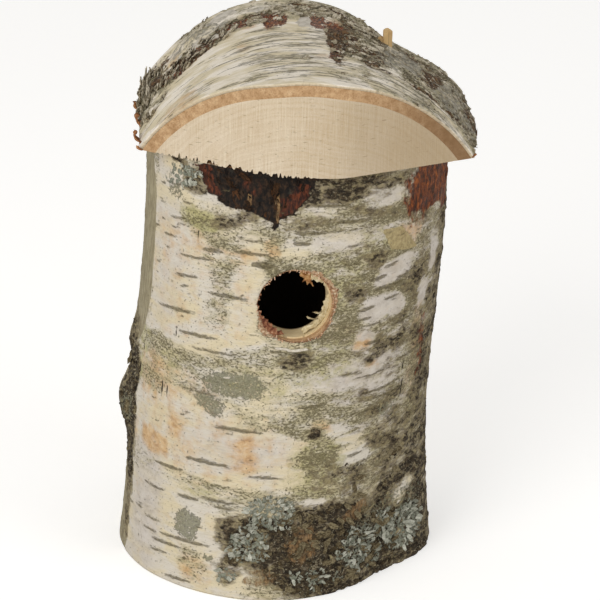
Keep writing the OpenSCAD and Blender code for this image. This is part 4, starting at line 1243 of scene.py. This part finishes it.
def strew_tree(name, on_faces):
    """A node tree that strews copies of a shape on the faces of a ground, or on its points, and joins
    them."""
    tree = bpy.data.node_groups.new(name, "GeometryNodeTree")
    for kind, labels in (("Object", ("Ground", "Shape 1", "Shape 2", "Shape 3")), ("Material", ("Finish",)),
                         ("Float", ("Spacing", "Density", "Smallest", "Largest", "Tilt", "Roughness")),
                         ("Int", ("Seed",))):
        for label in labels:
            tree.interface.new_socket(label, in_out="INPUT", socket_type="NodeSocket" + kind)
    tree.interface.new_socket("Geometry", in_out="OUTPUT", socket_type="NodeSocketGeometry")
    given = node(tree, "NodeGroupInput").outputs
    ground = node(tree, "GeometryNodeObjectInfo", {"Object": given["Ground"]}).outputs["Geometry"]
    shapes = node(tree, "GeometryNodeJoinGeometry")
    for label in ("Shape 1", "Shape 2", "Shape 3"):
        shape = node(tree, "GeometryNodeObjectInfo", {"Object": given[label], "As Instance": True})
        tree.links.new(shape.outputs["Geometry"], shapes.inputs[0])
    up, aim, chance = (
        node(tree, "GeometryNodeInputNamedAttribute", {"Name": key}, data_type=kind).outputs["Attribute"]
        for key, kind in (("up", "FLOAT_VECTOR"), ("aim", "FLOAT_VECTOR"), ("chance", "FLOAT")))
    if on_faces:
        points = node(tree, "GeometryNodeDistributePointsOnFaces", {
            "Mesh": ground, "Distance Min": given["Spacing"], "Density Max": given["Density"],
            "Density Factor": chance, "Seed": given["Seed"]}, distribute_method="POISSON").outputs["Points"]
    else:
        points = node(tree, "GeometryNodeMeshToPoints", {"Mesh": ground}).outputs["Points"]
    stood = node(tree, "FunctionNodeAlignRotationToVector", {"Vector": up}, axis="Z")
    turned = node(tree, "FunctionNodeAlignRotationToVector", {
        "Rotation": stood, "Vector": aim}, axis="X", pivot_axis="Z")
    lean = node(tree, "ShaderNodeVectorMath", {0: (1, 1, 1), "Scale": given["Tilt"]}, operation="SCALE")
    low = node(tree, "ShaderNodeVectorMath", {0: lean, "Scale": -1.0}, operation="SCALE")
    angles = node(tree, "FunctionNodeRandomValue", {
        "Min": low, "Max": lean, "Seed": given["Seed"]}, data_type="FLOAT_VECTOR").outputs["Value"]
    by = node(tree, "FunctionNodeEulerToRotation", {"Euler": angles})
    leant = node(tree, "FunctionNodeRotateRotation", {
        "Rotation": turned, "Rotate By": by}, rotation_space="LOCAL")
    size = node(tree, "FunctionNodeRandomValue", {
        "Min": given["Smallest"], "Max": given["Largest"], "Seed": given["Seed"]},
        data_type="FLOAT").outputs["Value"]
    copies = node(tree, "GeometryNodeInstanceOnPoints", {
        "Points": points, "Instance": shapes, "Pick Instance": True, "Rotation": leant,
        "Scale": size}).outputs["Instances"]
    tint = node(tree, "FunctionNodeRandomValue", {"Seed": given["Seed"]}, data_type="FLOAT").outputs["Value"]
    tinted = node(tree, "GeometryNodeStoreNamedAttribute", {
        "Geometry": copies, "Name": "shade", "Value": tint}, data_type="FLOAT", domain="INSTANCE")
    joined = node(tree, "GeometryNodeRealizeInstances", {"Geometry": tinted})
    place = node(tree, "GeometryNodeInputPosition")
    waves = node(tree, "ShaderNodeTexNoise", {"Vector": place, "Scale": 900.0, "Detail": 2.0})
    centred = node(tree, "ShaderNodeVectorMath", {
        0: waves.outputs["Color"], 1: (0.5, 0.5, 0.5)}, operation="SUBTRACT")
    moved = node(tree, "ShaderNodeVectorMath", {0: centred, "Scale": given["Roughness"]}, operation="SCALE")
    rough = node(tree, "GeometryNodeSetPosition", {"Geometry": joined, "Offset": moved})
    finished = node(tree, "GeometryNodeSetMaterial", {"Geometry": rough, "Material": given["Finish"]})
    node(tree, "NodeGroupOutput", {"Geometry": finished})
    return tree


def ground(name, points, faces, up, aim, chance):
    """A hidden mesh in millimetres that the strewn pieces grow from."""
    mesh = bpy.data.meshes.new(name)
    mesh.from_pydata((points * MM).tolist(), [], faces)
    store_fields(mesh, {"up": up, "aim": aim, "chance": chance})
    return bpy.data.objects.new(name, mesh)


def bark_ground(name, cover, p_span, q_span, rule):
    """The ground over a stretch of bark. A rule gives each place's chance and the way its copies point."""
    p, q = np.meshgrid(np.linspace(*p_span), np.linspace(*q_span))
    number = np.arange(p.size).reshape(p.shape)
    p, q = p.ravel(), q.ravel()
    a, b, fields, under, points, up = bark_at(cover, p, q)
    chance, aim_a, aim_b = rule(a, b, fields)
    place, ahead = cover[0], 0.004
    surface = place(p, q, 0.0)
    along_a, along_b = unit(place(p + ahead, q, 0.0) - surface), unit(place(p, q + ahead, 0.0) - surface)
    aim = aim_a[:, None] * along_a + aim_b[:, None] * along_b
    quads = grid_faces(number)
    quads = quads[(chance[quads] > 0.02).any(1)]
    return ground(name, points, quads.tolist(), up, aim, chance)


def strew(tree, base, name, shape, finish, body, slot, **sizes):
    """Strews copies of a leaf over a base, and keeps them as one plain mesh inside the box of the solids."""
    piece = add_object(name, bpy.data.meshes.new(name))
    helpers = [base] + leaf_shapes(*shape)
    for helper in helpers:
        bpy.context.scene.collection.objects.link(helper)
    values = dict(zip(("Ground", "Shape 1", "Shape 2", "Shape 3"), helpers), Finish=leaf_shader(*finish))
    values.update({key.capitalize(): value for key, value in sizes.items()})
    for key in ("Spacing", "Roughness"):
        values[key] *= MM
    modifier = piece.modifiers.new(name, "NODES")
    modifier.node_group = tree
    for socket in tree.interface.items_tree:
        if socket.in_out == "INPUT":
            modifier[socket.identifier] = values[socket.name]
    seen = bpy.context.evaluated_depsgraph_get()
    made = bpy.data.meshes.new_from_object(
        piece.evaluated_get(seen), preserve_all_data_layers=True, depsgraph=seen)
    piece.modifiers.remove(modifier)
    piece.data = made
    made.name = name
    for helper in helpers:
        bpy.data.objects.remove(helper)
    places = np.empty(len(made.vertices) * 3)
    made.vertices.foreach_get("co", places)
    places = in_box(places.reshape(-1, 3) / MM)
    if body == "roof":
        places[:, 2] = np.maximum(places[:, 2], LOG_TOP + PIECE_CLEAR)
    made.vertices.foreach_set("co", (places * MM).ravel())
    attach(piece, body)
    return piece


def leaf_shader(name, colours, rough):
    """The finish of small torn or grown pieces: each has its own shade, with fine grains on it."""
    material, tree, shader = new_material(name)
    shade = node(tree, "ShaderNodeAttribute", attribute_name="shade").outputs["Fac"]
    place = node(tree, "ShaderNodeTexCoord").outputs["Object"]
    grain = node(tree, "ShaderNodeTexNoise", {
        "Vector": place, "Scale": 1100.0, "Detail": 4.0, "Roughness": 0.65}).outputs["Fac"]
    tone = node(tree, "ShaderNodeMath", {0: grain, 1: 1.4, 2: -0.7}, operation="MULTIPLY_ADD")
    tone = node(tree, "ShaderNodeMath", {0: shade, 1: 0.75, 2: tone}, operation="MULTIPLY_ADD")
    tone = node(tree, "ShaderNodeMath", {0: tone, 1: 0.12}, operation="ADD")
    ramp = node(tree, "ShaderNodeValToRGB", {"Fac": tone})
    fill_ramp(ramp, np.linspace(0, 1, len(colours.split())), colours)
    bump = node(tree, "ShaderNodeBump", {"Height": grain, "Strength": 1.0, "Distance": 0.15 * MM})
    fill(tree, shader, {"Base Color": ramp.outputs["Color"], "Normal": bump, "Roughness": rough,
                        "Specular IOR Level": 0.2})
    return material


class NestBoxBark(bpy.types.PropertyGroup):
    """Sizes and colours of the bark."""
    front_step: bpy.props.FloatProperty(
        name="Front step", description="Distance between points round the front of the log",
        default=1.4 * MM, unit="LENGTH", precision=5)
    back_step: bpy.props.FloatProperty(
        name="Back step", description="Distance between points round the back of the log",
        default=2.4 * MM, unit="LENGTH", precision=5)
    row_step: bpy.props.FloatProperty(
        name="Row step", description="Distance between points up the log",
        default=0.8 * MM, unit="LENGTH", precision=5)
    roof_step: bpy.props.FloatProperty(
        name="Roof step", description="Distance between points on the roof",
        default=0.95 * MM, unit="LENGTH", precision=5)
    white: bpy.props.FloatVectorProperty(
        name="White bark", description="Colour of clean bark", subtype="COLOR", default=linear("#d3cbbd"))
    cream: bpy.props.FloatVectorProperty(
        name="Cream bark", description="Colour of clean bark in its warmer patches", subtype="COLOR",
        default=linear("#d6c8a8"))
    roof_white: bpy.props.FloatVectorProperty(
        name="White roof bark", description="Colour of clean bark on the roof", subtype="COLOR",
        default=linear("#f0e6d6"))
    streak: bpy.props.FloatVectorProperty(
        name="Streaks", description="Colour of the fine streaks", subtype="COLOR", default=linear("#b5a98c"))
    speck: bpy.props.FloatVectorProperty(
        name="Specks", description="Colour of the fine specks", subtype="COLOR", default=linear("#8f8468"))


class NestBoxStage(bpy.types.PropertyGroup):
    """Light and floor."""
    key_power: bpy.props.FloatProperty(
        name="Key light", description="Power of the large light in front on the left",
        default=19.0, unit="POWER")
    fill_power: bpy.props.FloatProperty(
        name="Fill light", description="Power of the light on the right", default=8.0, unit="POWER")
    sky: bpy.props.FloatProperty(
        name="Sky", description="Strength of the even light from all round", default=0.5)
    floor: bpy.props.FloatVectorProperty(
        name="Floor", description="Colour of the floor", subtype="COLOR", default=linear("#e9e7e3"))


def all_round(count):
    """Angles all round a circle, in radians."""
    return np.linspace(0, 2 * np.pi, count, endpoint=False)


def bore_ring(around, side):
    """Directions from the middle of a level bore, whose right-hand side is given, at some angles."""
    return np.cos(around)[:, None] * side + np.sin(around)[:, None] * [0, 0, 1]


def entrance_frame():
    """The right, up and outward directions of the bored entrance."""
    turned = math.radians(ENTRANCE_TURN)
    c, s = math.cos(turned), math.sin(turned)
    return np.array([[c, s, 0], [0, 0, 1], [s, -c, 0]])


def entrance_loop(count=260):
    """The torn edge of the bark round the entrance, as p and q on the log."""
    around = all_round(count)
    degrees = np.degrees(around)
    tear = 0.45 + 0.9 * np.abs(noise(np.cos(around) * 7 + 9, np.sin(around) * 7 + 9, 301, 4))
    tear += 0.8 * hump(degrees, 268, 40) + 1.3 * hump(degrees, 310, 16)
    tear += 1.3 * hump(degrees, 88, 34)
    tear += 0.8 * hump(degrees, 350, 30) + 0.8 * hump(degrees, 25, 30)
    side, up, out = entrance_frame()
    return loop_on_log(np.array(ENTRANCE) + (ENTRANCE_R + tear)[:, None] * bore_ring(around, side), out)


def loop_on_log(start, out, reach=40.0, rounds=40):
    """Where lines that leave some points in one direction meet the log's bark, as p and q."""
    low, high = np.full(len(start), -reach), np.full(len(start), reach)
    for step in range(rounds):
        middle = (low + high) / 2
        at = start + middle[:, None] * out
        x, z = at[:, 0] - log_x(at[:, 2]), at[:, 2]
        within = np.hypot(x, at[:, 1]) < log_reach(np.degrees(np.arctan2(at[:, 1], x)), z)
        low, high = np.where(within, middle, low), np.where(within, high, middle)
    at = start + low[:, None] * out
    z = at[:, 2]
    angle = np.degrees(np.arctan2(at[:, 1], at[:, 0] - log_x(z)))
    left, right = log_edge(z, 0, 1), log_edge(z, 0, -1)
    angle = np.where(angle > right, angle - 360, angle)
    return np.stack([(angle - left) / (right - left), z / LOG_TOP], 1)


def screw_loop(direction, count=28):
    """The edge of the bark round a countersunk floor screw, as p and q on the log."""
    turned = math.radians(direction)
    side = np.array([-math.sin(turned), math.cos(turned), 0])
    out = np.array([math.cos(turned), math.sin(turned), 0])
    middle = np.array([0, CHAMBER_Y, SIDE_SCREW_Z]) + SIDE_SCREW_OUT * out
    return loop_on_log(middle + SIDE_SCREW_HOLE_R * bore_ring(all_round(count), side), out)


def steps(spans):
    """Places from 0 to 1 across some spans, each with its length and its step."""
    total = sum(length for length, step in spans)
    places, start = [0.0], 0.0
    for length, step in spans:
        count = max(1, round(length / step))
        places += [(start + length * (i + 1) / count) / total for i in range(count)]
        start += length
    places[-1] = 1.0
    return np.array(places)


def lichen_rule(s, z, fields):
    """Lobes of lichen grow outward from the middle of their patch."""
    places = np.array([patch[:2] for patch in LOG_BLUE])
    away = np.stack([s, z], 1)[:, None] - places
    near = np.argmin(np.linalg.norm(away, axis=2), axis=1)
    away = unit(away[np.arange(len(s)), near] + 0.01)
    patchy = fields["blue"] + 0.5 * noise(s / 5, z / 5, 151, 3)
    return step_up(patchy, 0.45, 0.25), away[:, 0], away[:, 1]


def flake_rule(u, y, fields):
    """Flakes of old bark stand up along the rough parts of the roof, but not round the peg."""
    rough = step_up(fields["algae"] + 0.4 * fields["dark"] + 0.3 * noise(u / 7, y / 7, 161, 3), 0.45, 0.3)
    rough = rough * (0.35 + 0.65 * step_up(noise(u / 6, y / 6, 165, 3), -0.35, 0.4))
    rough = rough * (1 - 0.7 * step_up(fields["stain"], 0.4, 0.3))
    rough = rough * step_up(np.hypot(u - PEG_ON_BARK[0], y - PEG_ON_BARK[1]), 6, 2)
    turn = mix(3.6, 0.9, step_up(u, 25, 20)) * noise(u / 4, y / 4, 171, 2)
    return rough, np.cos(turn), np.sin(turn)


def scar_rule(s, z, fields):
    """Splinters of wood and old bark hang in the scar of the branch, towards its point."""
    slope = np.arctan2(196 - z, -9 - s) + 1.7 * noise(s / 5, z / 5, 177, 2)
    torn = step_up(fields["scar"], 0.7, 0.3) * step_up(noise(s / 5, z / 8, 179, 3), -0.3, 0.3)
    return torn, np.cos(slope), np.sin(slope)


def crust_rule(s, z, fields):
    """Crumbs of old bark stand up on the dark foot of the log and on its knot."""
    rough = step_up(fields["dark"] + 0.3 * noise(s / 7, z / 5, 181, 3), 0.6, 0.3) * (fields["scar"] < 0.3)
    rough = rough * ((z < 72) | (s < -80)) * (s < 76)
    rough = rough * step_up(noise(s / 6, z / 5, 199, 3), -0.35, 0.35)
    turn = 3.4 * noise(s / 5, z / 5, 191, 2)
    return rough, np.cos(turn), np.sin(turn)


# What is strewn on the bark. Each has the bark and the stretch of it, as two ends and a count each way, and
# the rule that it grows by. Its shape is a leaf's name, length, width, thickness, curl, cup and seed, its
# finish a name, colours from dark to light and a roughness, and its sizes are in mm, or whole leaves and
# radians.
STREWN = (
    dict(cover=LOG_COVER, p_span=(0.2, 0.99, 220), q_span=(0.01, 0.98, 130), rule=lichen_rule,
         name="log_lichen", body="log", slot="birch_bark", shape=("lobe", 3.0, 2.2, 0.3, 40, 0.3, 601),
         finish=("grey_lichen", "#4a4a40 #7d7e70 #a4a495 #c8c7b9", 0.9),
         spacing=1.3, density=6e5, smallest=0.45, largest=1.15, tilt=0.45, roughness=0.5, seed=4),
    dict(cover=LOG_COVER, p_span=(0.0, 1.0, 200), q_span=(0.01, 0.98, 120), rule=crust_rule,
         name="log_crust", body="log", slot="birch_bark", shape=("crumb", 2.8, 1.8, 0.5, 6, 0.15, 611, 4, 4),
         finish=("crusty_bark", "#0d0906 #281f16 #50442f #857a5e", 0.92),
         spacing=1.8, density=2.4e5, smallest=0.3, largest=1.8, tilt=0.15, roughness=1.5, seed=6),
    dict(cover=ROOF_COVER, p_span=(0.0, 1.0, 130), q_span=(0.0, 1.0, 90), rule=flake_rule,
         name="roof_flakes", body="roof", slot="birch_bark", shape=("flake", 3.9, 4.4, 0.7, 12, 0.25, 621),
         finish=("flaked_bark", "#2a2016 #736751 #a59a83 #d2c9b7", 0.88),
         spacing=1.9, density=2.0e5, smallest=0.25, largest=1.15, tilt=0.18, roughness=1.9, seed=8),
    dict(cover=LOG_COVER, p_span=(0.30, 0.60, 110), q_span=(0.86, 0.999, 60), rule=scar_rule,
         name="scar_splinters", body="log", slot="inner_bark",
         shape=("splinter", 6.0, 3.0, 1.0, 10, 0.4, 641),
         finish=("scar_splinters", "#080504 #170f0a #33210f #57361f", 0.85),
         spacing=2.6, density=1.4e5, smallest=0.3, largest=1.2, tilt=0.2, roughness=2.0, seed=12),
)


class NESTBOX_OT_log_bark(bpy.types.Operator):
    """Makes the log's bark, with its patches, slits, knot, scar and torn entrance"""
    bl_idname = "nestbox.log_bark"
    bl_label = "Log Bark"

    def execute(self, context):
        sizes = context.scene.nestbox_bark
        # The unrolled bark is a front and two backs wide, in mm, and each has its own step.
        front, back = 247, 64
        back_span, front_span = (back, sizes.back_step / MM), (front, sizes.front_step / MM)
        across, along = steps([back_span, front_span, back_span]), steps([(LOG_TOP, sizes.row_step / MM)])
        loops = [entrance_loop()] + [screw_loop(direction) for direction in SIDE_SCREW_ANGLES]
        points, faces, fields = bark_skin(LOG_COVER, across, along, front + 2 * back, LOG_TOP, loops)
        material = bark_shader("white_birch_bark", sizes.white, sizes, LOG_LAYERS, 0.5, "#7c4a30", "#d3b08c")
        piece = make_piece("log_bark_skin", points, faces, material, "log", fields)
        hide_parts("log_bark")
        return {"FINISHED"}


class NESTBOX_OT_roof_bark(bpy.types.Operator):
    """Makes the roof's bark, with its streaked front, cracked ridge and peeled patches"""
    bl_idname = "nestbox.roof_bark"
    bl_label = "Roof Bark"

    def execute(self, context):
        sizes = context.scene.nestbox_bark
        wide, long = 200.0, 138.0
        across, along = (steps([(span, sizes.roof_step / MM)]) for span in (wide, long))
        points, faces, fields = bark_skin(ROOF_COVER, across, along, wide, long, [], LOG_TOP + SKIN_CLEAR)
        material = bark_shader(
            "streaked_birch_bark", sizes.roof_white, sizes, ROOF_LAYERS, 0.5, "#a8916f", "#dccdb2")
        piece = make_piece("roof_bark_skin", points, faces, material, "roof", fields)
        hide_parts("roof_bark")
        return {"FINISHED"}


def slab_ring(p):
    """One upright cut through the roof's wood, from front to back: its face, its top, its rear and its
    underside. The saw tore the lower edge of the face, most in the middle, and the torn notches run under
    it."""
    top = roof_place(np.full(16, p), np.linspace(0, 1, 16), BARK_T + INNER_BARK_T)
    front, rear = top[0], top[-1]
    x = front[0]
    torn = max(0.0, 1.5 * noise(np.array([x / 0.9]), np.array([0.5]), 401, 3)[0] + 0.3)
    notch = 2.6 * torn * (0.25 + 0.75 * step_up(x, -66, 14)) * smooth((14 - x) / 14)
    notch = min(notch + 0.12 * torn, 0.6 * (front[2] - LOG_TOP))
    foot, run_back = LOG_TOP + notch, 6.0
    up, back = np.linspace(0, 1, 14), np.linspace(0, 1, 12)[1:]
    face = [(x, front[1], foot + (front[2] - LOG_TOP - notch) * t) for t in up]
    rear_face = [(rear[0], rear[1], rear[2] + (LOG_TOP - rear[2]) * t) for t in up[1:]]
    under = [(mix(rear[0], x, t), mix(rear[1], front[1] + run_back, t), LOG_TOP) for t in back]
    return face + [tuple(point) for point in top[1:]] + rear_face + under


class NESTBOX_OT_roof_slab(bpy.types.Operator):
    """Makes the wood of the roof, with the torn fibres along the front edge of its underside"""
    bl_idname = "nestbox.roof_slab"
    bl_label = "Roof Slab"

    def execute(self, context):
        rings = np.array([slab_ring(p) for p in np.linspace(0, 1, 420)])
        heart = LOG_TOP + ROOF_RISE - roof_radius(NOSE_Y)
        # The roof's wood is painted darker towards the right, partly weathering and partly painted shade.
        material = wood_shader("sawn_birch_roof", "#dccdb7", "#c4ae8d", (CROWN_X, 0, heart), "Y", 1.0, 0.7)
        piece = make_piece("roof_slab_wood", rings.reshape(-1, 3), [close_rings(rings)], material, "roof",
                           shade_smooth=False)
        tidy_mesh(piece)
        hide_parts("roof_slab")
        dress("roof_inner_bark", inner_bark_shader("tan_inner_bark", 0.78))
        return {"FINISHED"}


class NESTBOX_OT_growth(bpy.types.Operator):
    """Strews the lobes of lichen, the flakes of old bark and the torn shreds round the entrance"""
    bl_idname = "nestbox.growth"
    bl_label = "Lichens and Flakes"

    def execute(self, context):
        tree = strew_tree("strewn_on_bark", True)
        for one in STREWN:
            rest = dict(one)
            spot = [rest.pop(key) for key in ("cover", "p_span", "q_span", "rule")]
            strew(tree, bark_ground(one["name"] + "_ground", *spot), **rest)
        p, q = entrance_loop(130).T
        edge, under = log_place(p, q, 0.1), log_place(p, q, BARK_T)
        out = unit(edge - under)
        inward = edge.mean(0) - edge
        inward -= (inward * out).sum(1)[:, None] * out
        base = ground("shred_ground", edge, [], out, inward, np.ones(len(edge)))
        strew(strew_tree("strewn_on_points", False), base, "entrance_shreds",
              ("shred", 1.7, 0.6, 0.2, 110, 0.1, 631),
              ("torn_shreds", "#54281a #9a5a3a #cfa37e #e6d6bf", 0.75), "log", "inner_bark",
              spacing=1.0, density=1.0, smallest=0.25, largest=1.2, tilt=1.2, roughness=0.5, seed=10)
        return {"FINISHED"}


class NESTBOX_OT_eave_curls(bpy.types.Operator):
    """Makes the curled ends of bark along the eaves of the roof"""
    bl_idname = "nestbox.eave_curls"
    bl_label = "Eave Curls"

    def execute(self, context):
        material = leaf_shader("curled_bark_ends", "#3a2114 #7c4c2c #ab7a50 #c9a780", 0.85)
        points, faces, caps, shade = [], [], [], []
        for number, (p, q, depth, yaw, lean, long, wide, curl) in enumerate(EAVE_CURLS):
            rings = leaf(long, wide, 0.8, curl, 0.5, 661 + number, 7, 9, 0.25)
            at = roof_place(np.array([p]), np.array([q]), depth)[0]
            turn = Matrix.Rotation(math.radians(yaw), 3, "Z") @ Matrix.Rotation(math.radians(lean), 3, "Y")
            start, around = sum(len(group) for group in points), rings.shape[1]
            placed = rings.reshape(-1, 3) @ np.array(turn).T + at
            placed[:, 2] = np.maximum(placed[:, 2], LOG_TOP + PIECE_CLEAR)
            points.append(placed)
            faces.append(close_rings(rings) + start)
            caps += [range(start, start + around), range(start + len(placed) - around, start + len(placed))]
            shade.append(0.5 + 0.5 * noise(placed[:, 0] / 2, placed[:, 1] / 2, 671, 2))
        points, shade = in_box(np.concatenate(points)), np.concatenate(shade)
        piece = make_piece("eave_curls", points, faces, material, "roof", {"shade": shade})
        tidy_mesh(piece, caps)
        return {"FINISHED"}


class NESTBOX_OT_entrance_tears(bpy.types.Operator):
    """Makes the flap, the shelf and the splinters that the drill left in the entrance"""
    bl_idname = "nestbox.entrance_tears"
    bl_label = "Entrance Tears"

    def execute(self, context):
        finishes = {
            "flap": leaf_shader("orange_flap", "#3c2413 #83562e #b48a5a #dcc198", 0.85),
            "rag": leaf_shader("torn_bark_rag", "#24120c #5c3020 #9a6a4c #d5bb9a", 0.85),
            "pale": leaf_shader("pale_splinters", "#8f7b52 #c1ae84 #d8caa6 #e8dec4", 0.7)}
        for name, depth, thick, finish, slot, corners in ENTRANCE_TEARS:
            points, faces = torn_plate(corners, thick, 0.3, 641)
            points += (0, TEARS_UP, -depth)
            points = points @ entrance_frame() + np.array(ENTRANCE)
            shade = 0.5 + 0.5 * noise(points[:, 0], points[:, 2] / 2, 651, 2)
            make_piece(name, points, faces, finishes[finish], "log", {"shade": shade})
        return {"FINISHED"}


class NESTBOX_OT_log_wood(bpy.types.Operator):
    """Finishes the wood of the log and its floor, and the inner bark"""
    bl_idname = "nestbox.log_wood"
    bl_label = "Log Wood"

    def execute(self, context):
        # The log's wood gets painted shade on the walls of its bored chamber.
        dress("log_wall", wood_shader("bored_birch_log", "#ecdcb6", "#d0b582", (0, 0, 0), "Z", chamber_shade=0.92))
        dress("floor_disc", wood_shader("turned_birch_floor", "#cdb68d", "#a98a5c", (0, CHAMBER_Y, 0), "Z"))
        dress("log_inner_bark", inner_bark_shader("torn_inner_bark", 0.0))
        return {"FINISHED"}


class NESTBOX_OT_fixings(bpy.types.Operator):
    """Finishes the screws and the hanger plate"""
    bl_idname = "nestbox.fixings"
    bl_label = "Fixings"

    def execute(self, context):
        zinc = zinc_shader("zinc_plated_steel")
        for name in ("floor_screws", "hanger_plate", "hanger_screws"):
            dress(name, zinc)
        return {"FINISHED"}


def split_top(x, y, height, ridge_x, seed):
    """Height of the split top of the peg at places measured from its middle."""
    return height - 0.45 * np.abs(x - ridge_x) - 0.5 * (noise(x / 1.1, y / 1.6, seed + 3, 3) + 1)


def peg_rings(name, low_x, high_x, ridge_x, seed):
    """Rings of points up one part of the peg and in over its top. It is round in its hole and rough above."""
    foot, height = (corner.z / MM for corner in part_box(name))
    around = all_round(PEG_SIDES)
    rings = []
    for level in np.linspace(0, 1, PEG_LEVELS):
        z = mix(foot, height, level)
        out = smooth((z - height + 13) / 6)
        rough = noise(around * 1.9 + 7, np.full(PEG_SIDES, z / 9), seed, 3)
        reach = PEG_R - 0.02 - out * (0.25 + 0.22 * rough)
        x, y = np.clip(reach * np.cos(around), low_x, high_x - 0.05), reach * np.sin(around)
        top = split_top(x, y, height, ridge_x, seed)
        rings.append(np.stack([x + PEG_AT[0], y + PEG_AT[1], np.minimum(z, top)], 1))
    last = rings[-1]
    for shrink in (0.66, 0.33):
        middle = last.mean(0)
        x, y = (middle[:2] + shrink * (last[:, :2] - middle[:2])).T
        rings.append(np.stack([x, y, split_top(x - PEG_AT[0], y - PEG_AT[1], height, ridge_x, seed)], 1))
    return np.array(rings)


class NESTBOX_OT_peg(bpy.types.Operator):
    """Makes the split wooden peg and the wedge that tightens it"""
    bl_idname = "nestbox.peg"
    bl_label = "Peg"

    def execute(self, context):
        for name, low_x, high_x, ridge_x, seed in PEG_PARTS:
            rings = peg_rings(name, low_x, high_x, ridge_x, seed)
            material = wood_shader("split_" + name, "#e2c795", "#b2884f", (*PEG_AT, 0), "Z")
            piece = make_piece(name + "_split", rings.reshape(-1, 3), [close_rings(rings)], material, "roof",
                               shade_smooth=False)
            last = (len(rings) - 1) * PEG_SIDES
            tidy_mesh(piece, [range(PEG_SIDES), range(last, last + PEG_SIDES)])
            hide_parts(name)
        return {"FINISHED"}


def make_floor(colour):
    """A pale floor that the camera sees a little brighter than it lights the box."""
    mesh = bpy.data.meshes.new("floor")
    corners = [(x * FLOOR_HALF, y * FLOOR_HALF, 0) for x, y in ((-1, -1), (1, -1), (1, 1), (-1, 1))]
    mesh.from_pydata(corners, [], [(0, 1, 2, 3)])
    floor = add_object("floor", mesh)
    floor.location.z = -FLOOR_DROP
    material, tree, shader = new_material("pale_floor")
    fill(tree, shader, {"Base Color": (*colour, 1), "Roughness": 0.9})
    seen = node(tree, "ShaderNodeLightPath").outputs["Is Camera Ray"]
    glow = node(tree, "ShaderNodeEmission", {"Color": (1, 1, 1, 1), "Strength": FLOOR_GLOW})
    lifted = node(tree, "ShaderNodeAddShader", {0: shader, 1: glow})
    shown = node(tree, "ShaderNodeMixShader", {0: seen, 1: shader, 2: lifted})
    fill(tree, tree.nodes["Material Output"], {"Surface": shown})
    mesh.materials.append(material)


def make_sky(strength):
    """An even light from all round, that the camera and reflections see as white."""
    world = bpy.data.worlds.new("soft_studio")
    world.use_nodes = True
    tree = world.node_tree
    rays = node(tree, "ShaderNodeLightPath").outputs
    clear = rays["Is Camera Ray"]
    for ray in ("Is Glossy Ray", "Is Transmission Ray"):
        clear = node(tree, "ShaderNodeMath", {0: clear, 1: rays[ray]}, operation="MAXIMUM")
    shown = node(tree, "ShaderNodeMapRange", {"Value": clear, "To Min": strength, "To Max": 1.0})
    fill(tree, tree.nodes["Background"], {"Strength": shown, "Color": (1, 1, 1, 1)})
    return world


class NESTBOX_OT_stage(bpy.types.Operator):
    """Makes the floor, the lights and the camera"""
    bl_idname = "nestbox.stage"
    bl_label = "Stage"

    def execute(self, context):
        settings = context.scene.nestbox_stage
        scene = context.scene
        scene.view_settings.view_transform = "Standard"
        make_floor(settings.floor)
        scene.world = make_sky(settings.sky)
        aim = Vector(LOOK_AT) * MM
        for (name, place, size), power in zip(LAMPS, (settings.key_power, settings.fill_power)):
            lamp = bpy.data.lights.new(name, "AREA")
            lamp.shape, lamp.size, lamp.energy, lamp.color = "DISK", size, power, (1, 1, 1)
            holder = add_object(name, lamp)
            holder.location = place
            holder.rotation_euler = (aim - Vector(place)).to_track_quat("-Z", "Y").to_euler()
        up = math.radians(CAMERA_ELEVATION)
        back = Vector((0, -math.cos(up), math.sin(up)))
        camera = bpy.data.cameras.new("camera")
        camera.lens, camera.sensor_width = CAMERA_LENS, 36.0
        camera.clip_start, camera.clip_end = 0.05, 30.0
        holder = add_object("camera", camera)
        holder.location = aim + back * CAMERA_AWAY * MM
        roll = Matrix.Rotation(math.radians(CAMERA_ROLL), 3, "Z")
        holder.rotation_euler = ((-back).to_track_quat("-Z", "Y").to_matrix() @ roll).to_euler()
        scene.camera = holder
        return {"FINISHED"}


class NESTBOX_PT_panel(bpy.types.Panel):
    """Lists the nest box's pieces in the sidebar"""
    bl_label = "Nest Box"
    bl_idname = "NESTBOX_PT_panel"
    bl_space_type = "VIEW_3D"
    bl_region_type = "UI"
    bl_category = "Nest Box"

    def draw(self, context):
        for group in (context.scene.nestbox_bark, context.scene.nestbox_stage):
            box = self.layout.box()
            for name in group.__annotations__:
                box.prop(group, name)
        for operator in OPERATORS:
            self.layout.operator(operator.bl_idname)


GROUPS = {"nestbox_bark": NestBoxBark, "nestbox_stage": NestBoxStage}
OPERATORS = (
    NESTBOX_OT_log_bark, NESTBOX_OT_log_wood, NESTBOX_OT_roof_bark, NESTBOX_OT_roof_slab, NESTBOX_OT_peg,
    NESTBOX_OT_growth, NESTBOX_OT_eave_curls, NESTBOX_OT_entrance_tears, NESTBOX_OT_fixings, NESTBOX_OT_stage)


def register():
    """Makes the classes and the settings known."""
    for kind in (*GROUPS.values(), *OPERATORS, NESTBOX_PT_panel):
        bpy.utils.register_class(kind)
    for name, kind in GROUPS.items():
        setattr(bpy.types.Scene, name, bpy.props.PointerProperty(type=kind))


def unregister():
    """Takes the settings and the classes away."""
    for name in GROUPS:
        delattr(bpy.types.Scene, name)
    for kind in (NESTBOX_PT_panel, *OPERATORS[::-1], *list(GROUPS.values())[::-1]):
        bpy.utils.unregister_class(kind)


def main():
    """Makes every piece and the stage."""
    register()
    bpy.ops.nestbox.log_bark()
    bpy.ops.nestbox.log_wood()
    bpy.ops.nestbox.roof_bark()
    bpy.ops.nestbox.roof_slab()
    bpy.ops.nestbox.peg()
    bpy.ops.nestbox.growth()
    bpy.ops.nestbox.eave_curls()
    bpy.ops.nestbox.entrance_tears()
    bpy.ops.nestbox.fixings()
    bpy.ops.nestbox.stage()


if __name__ == "__main__":
    main()
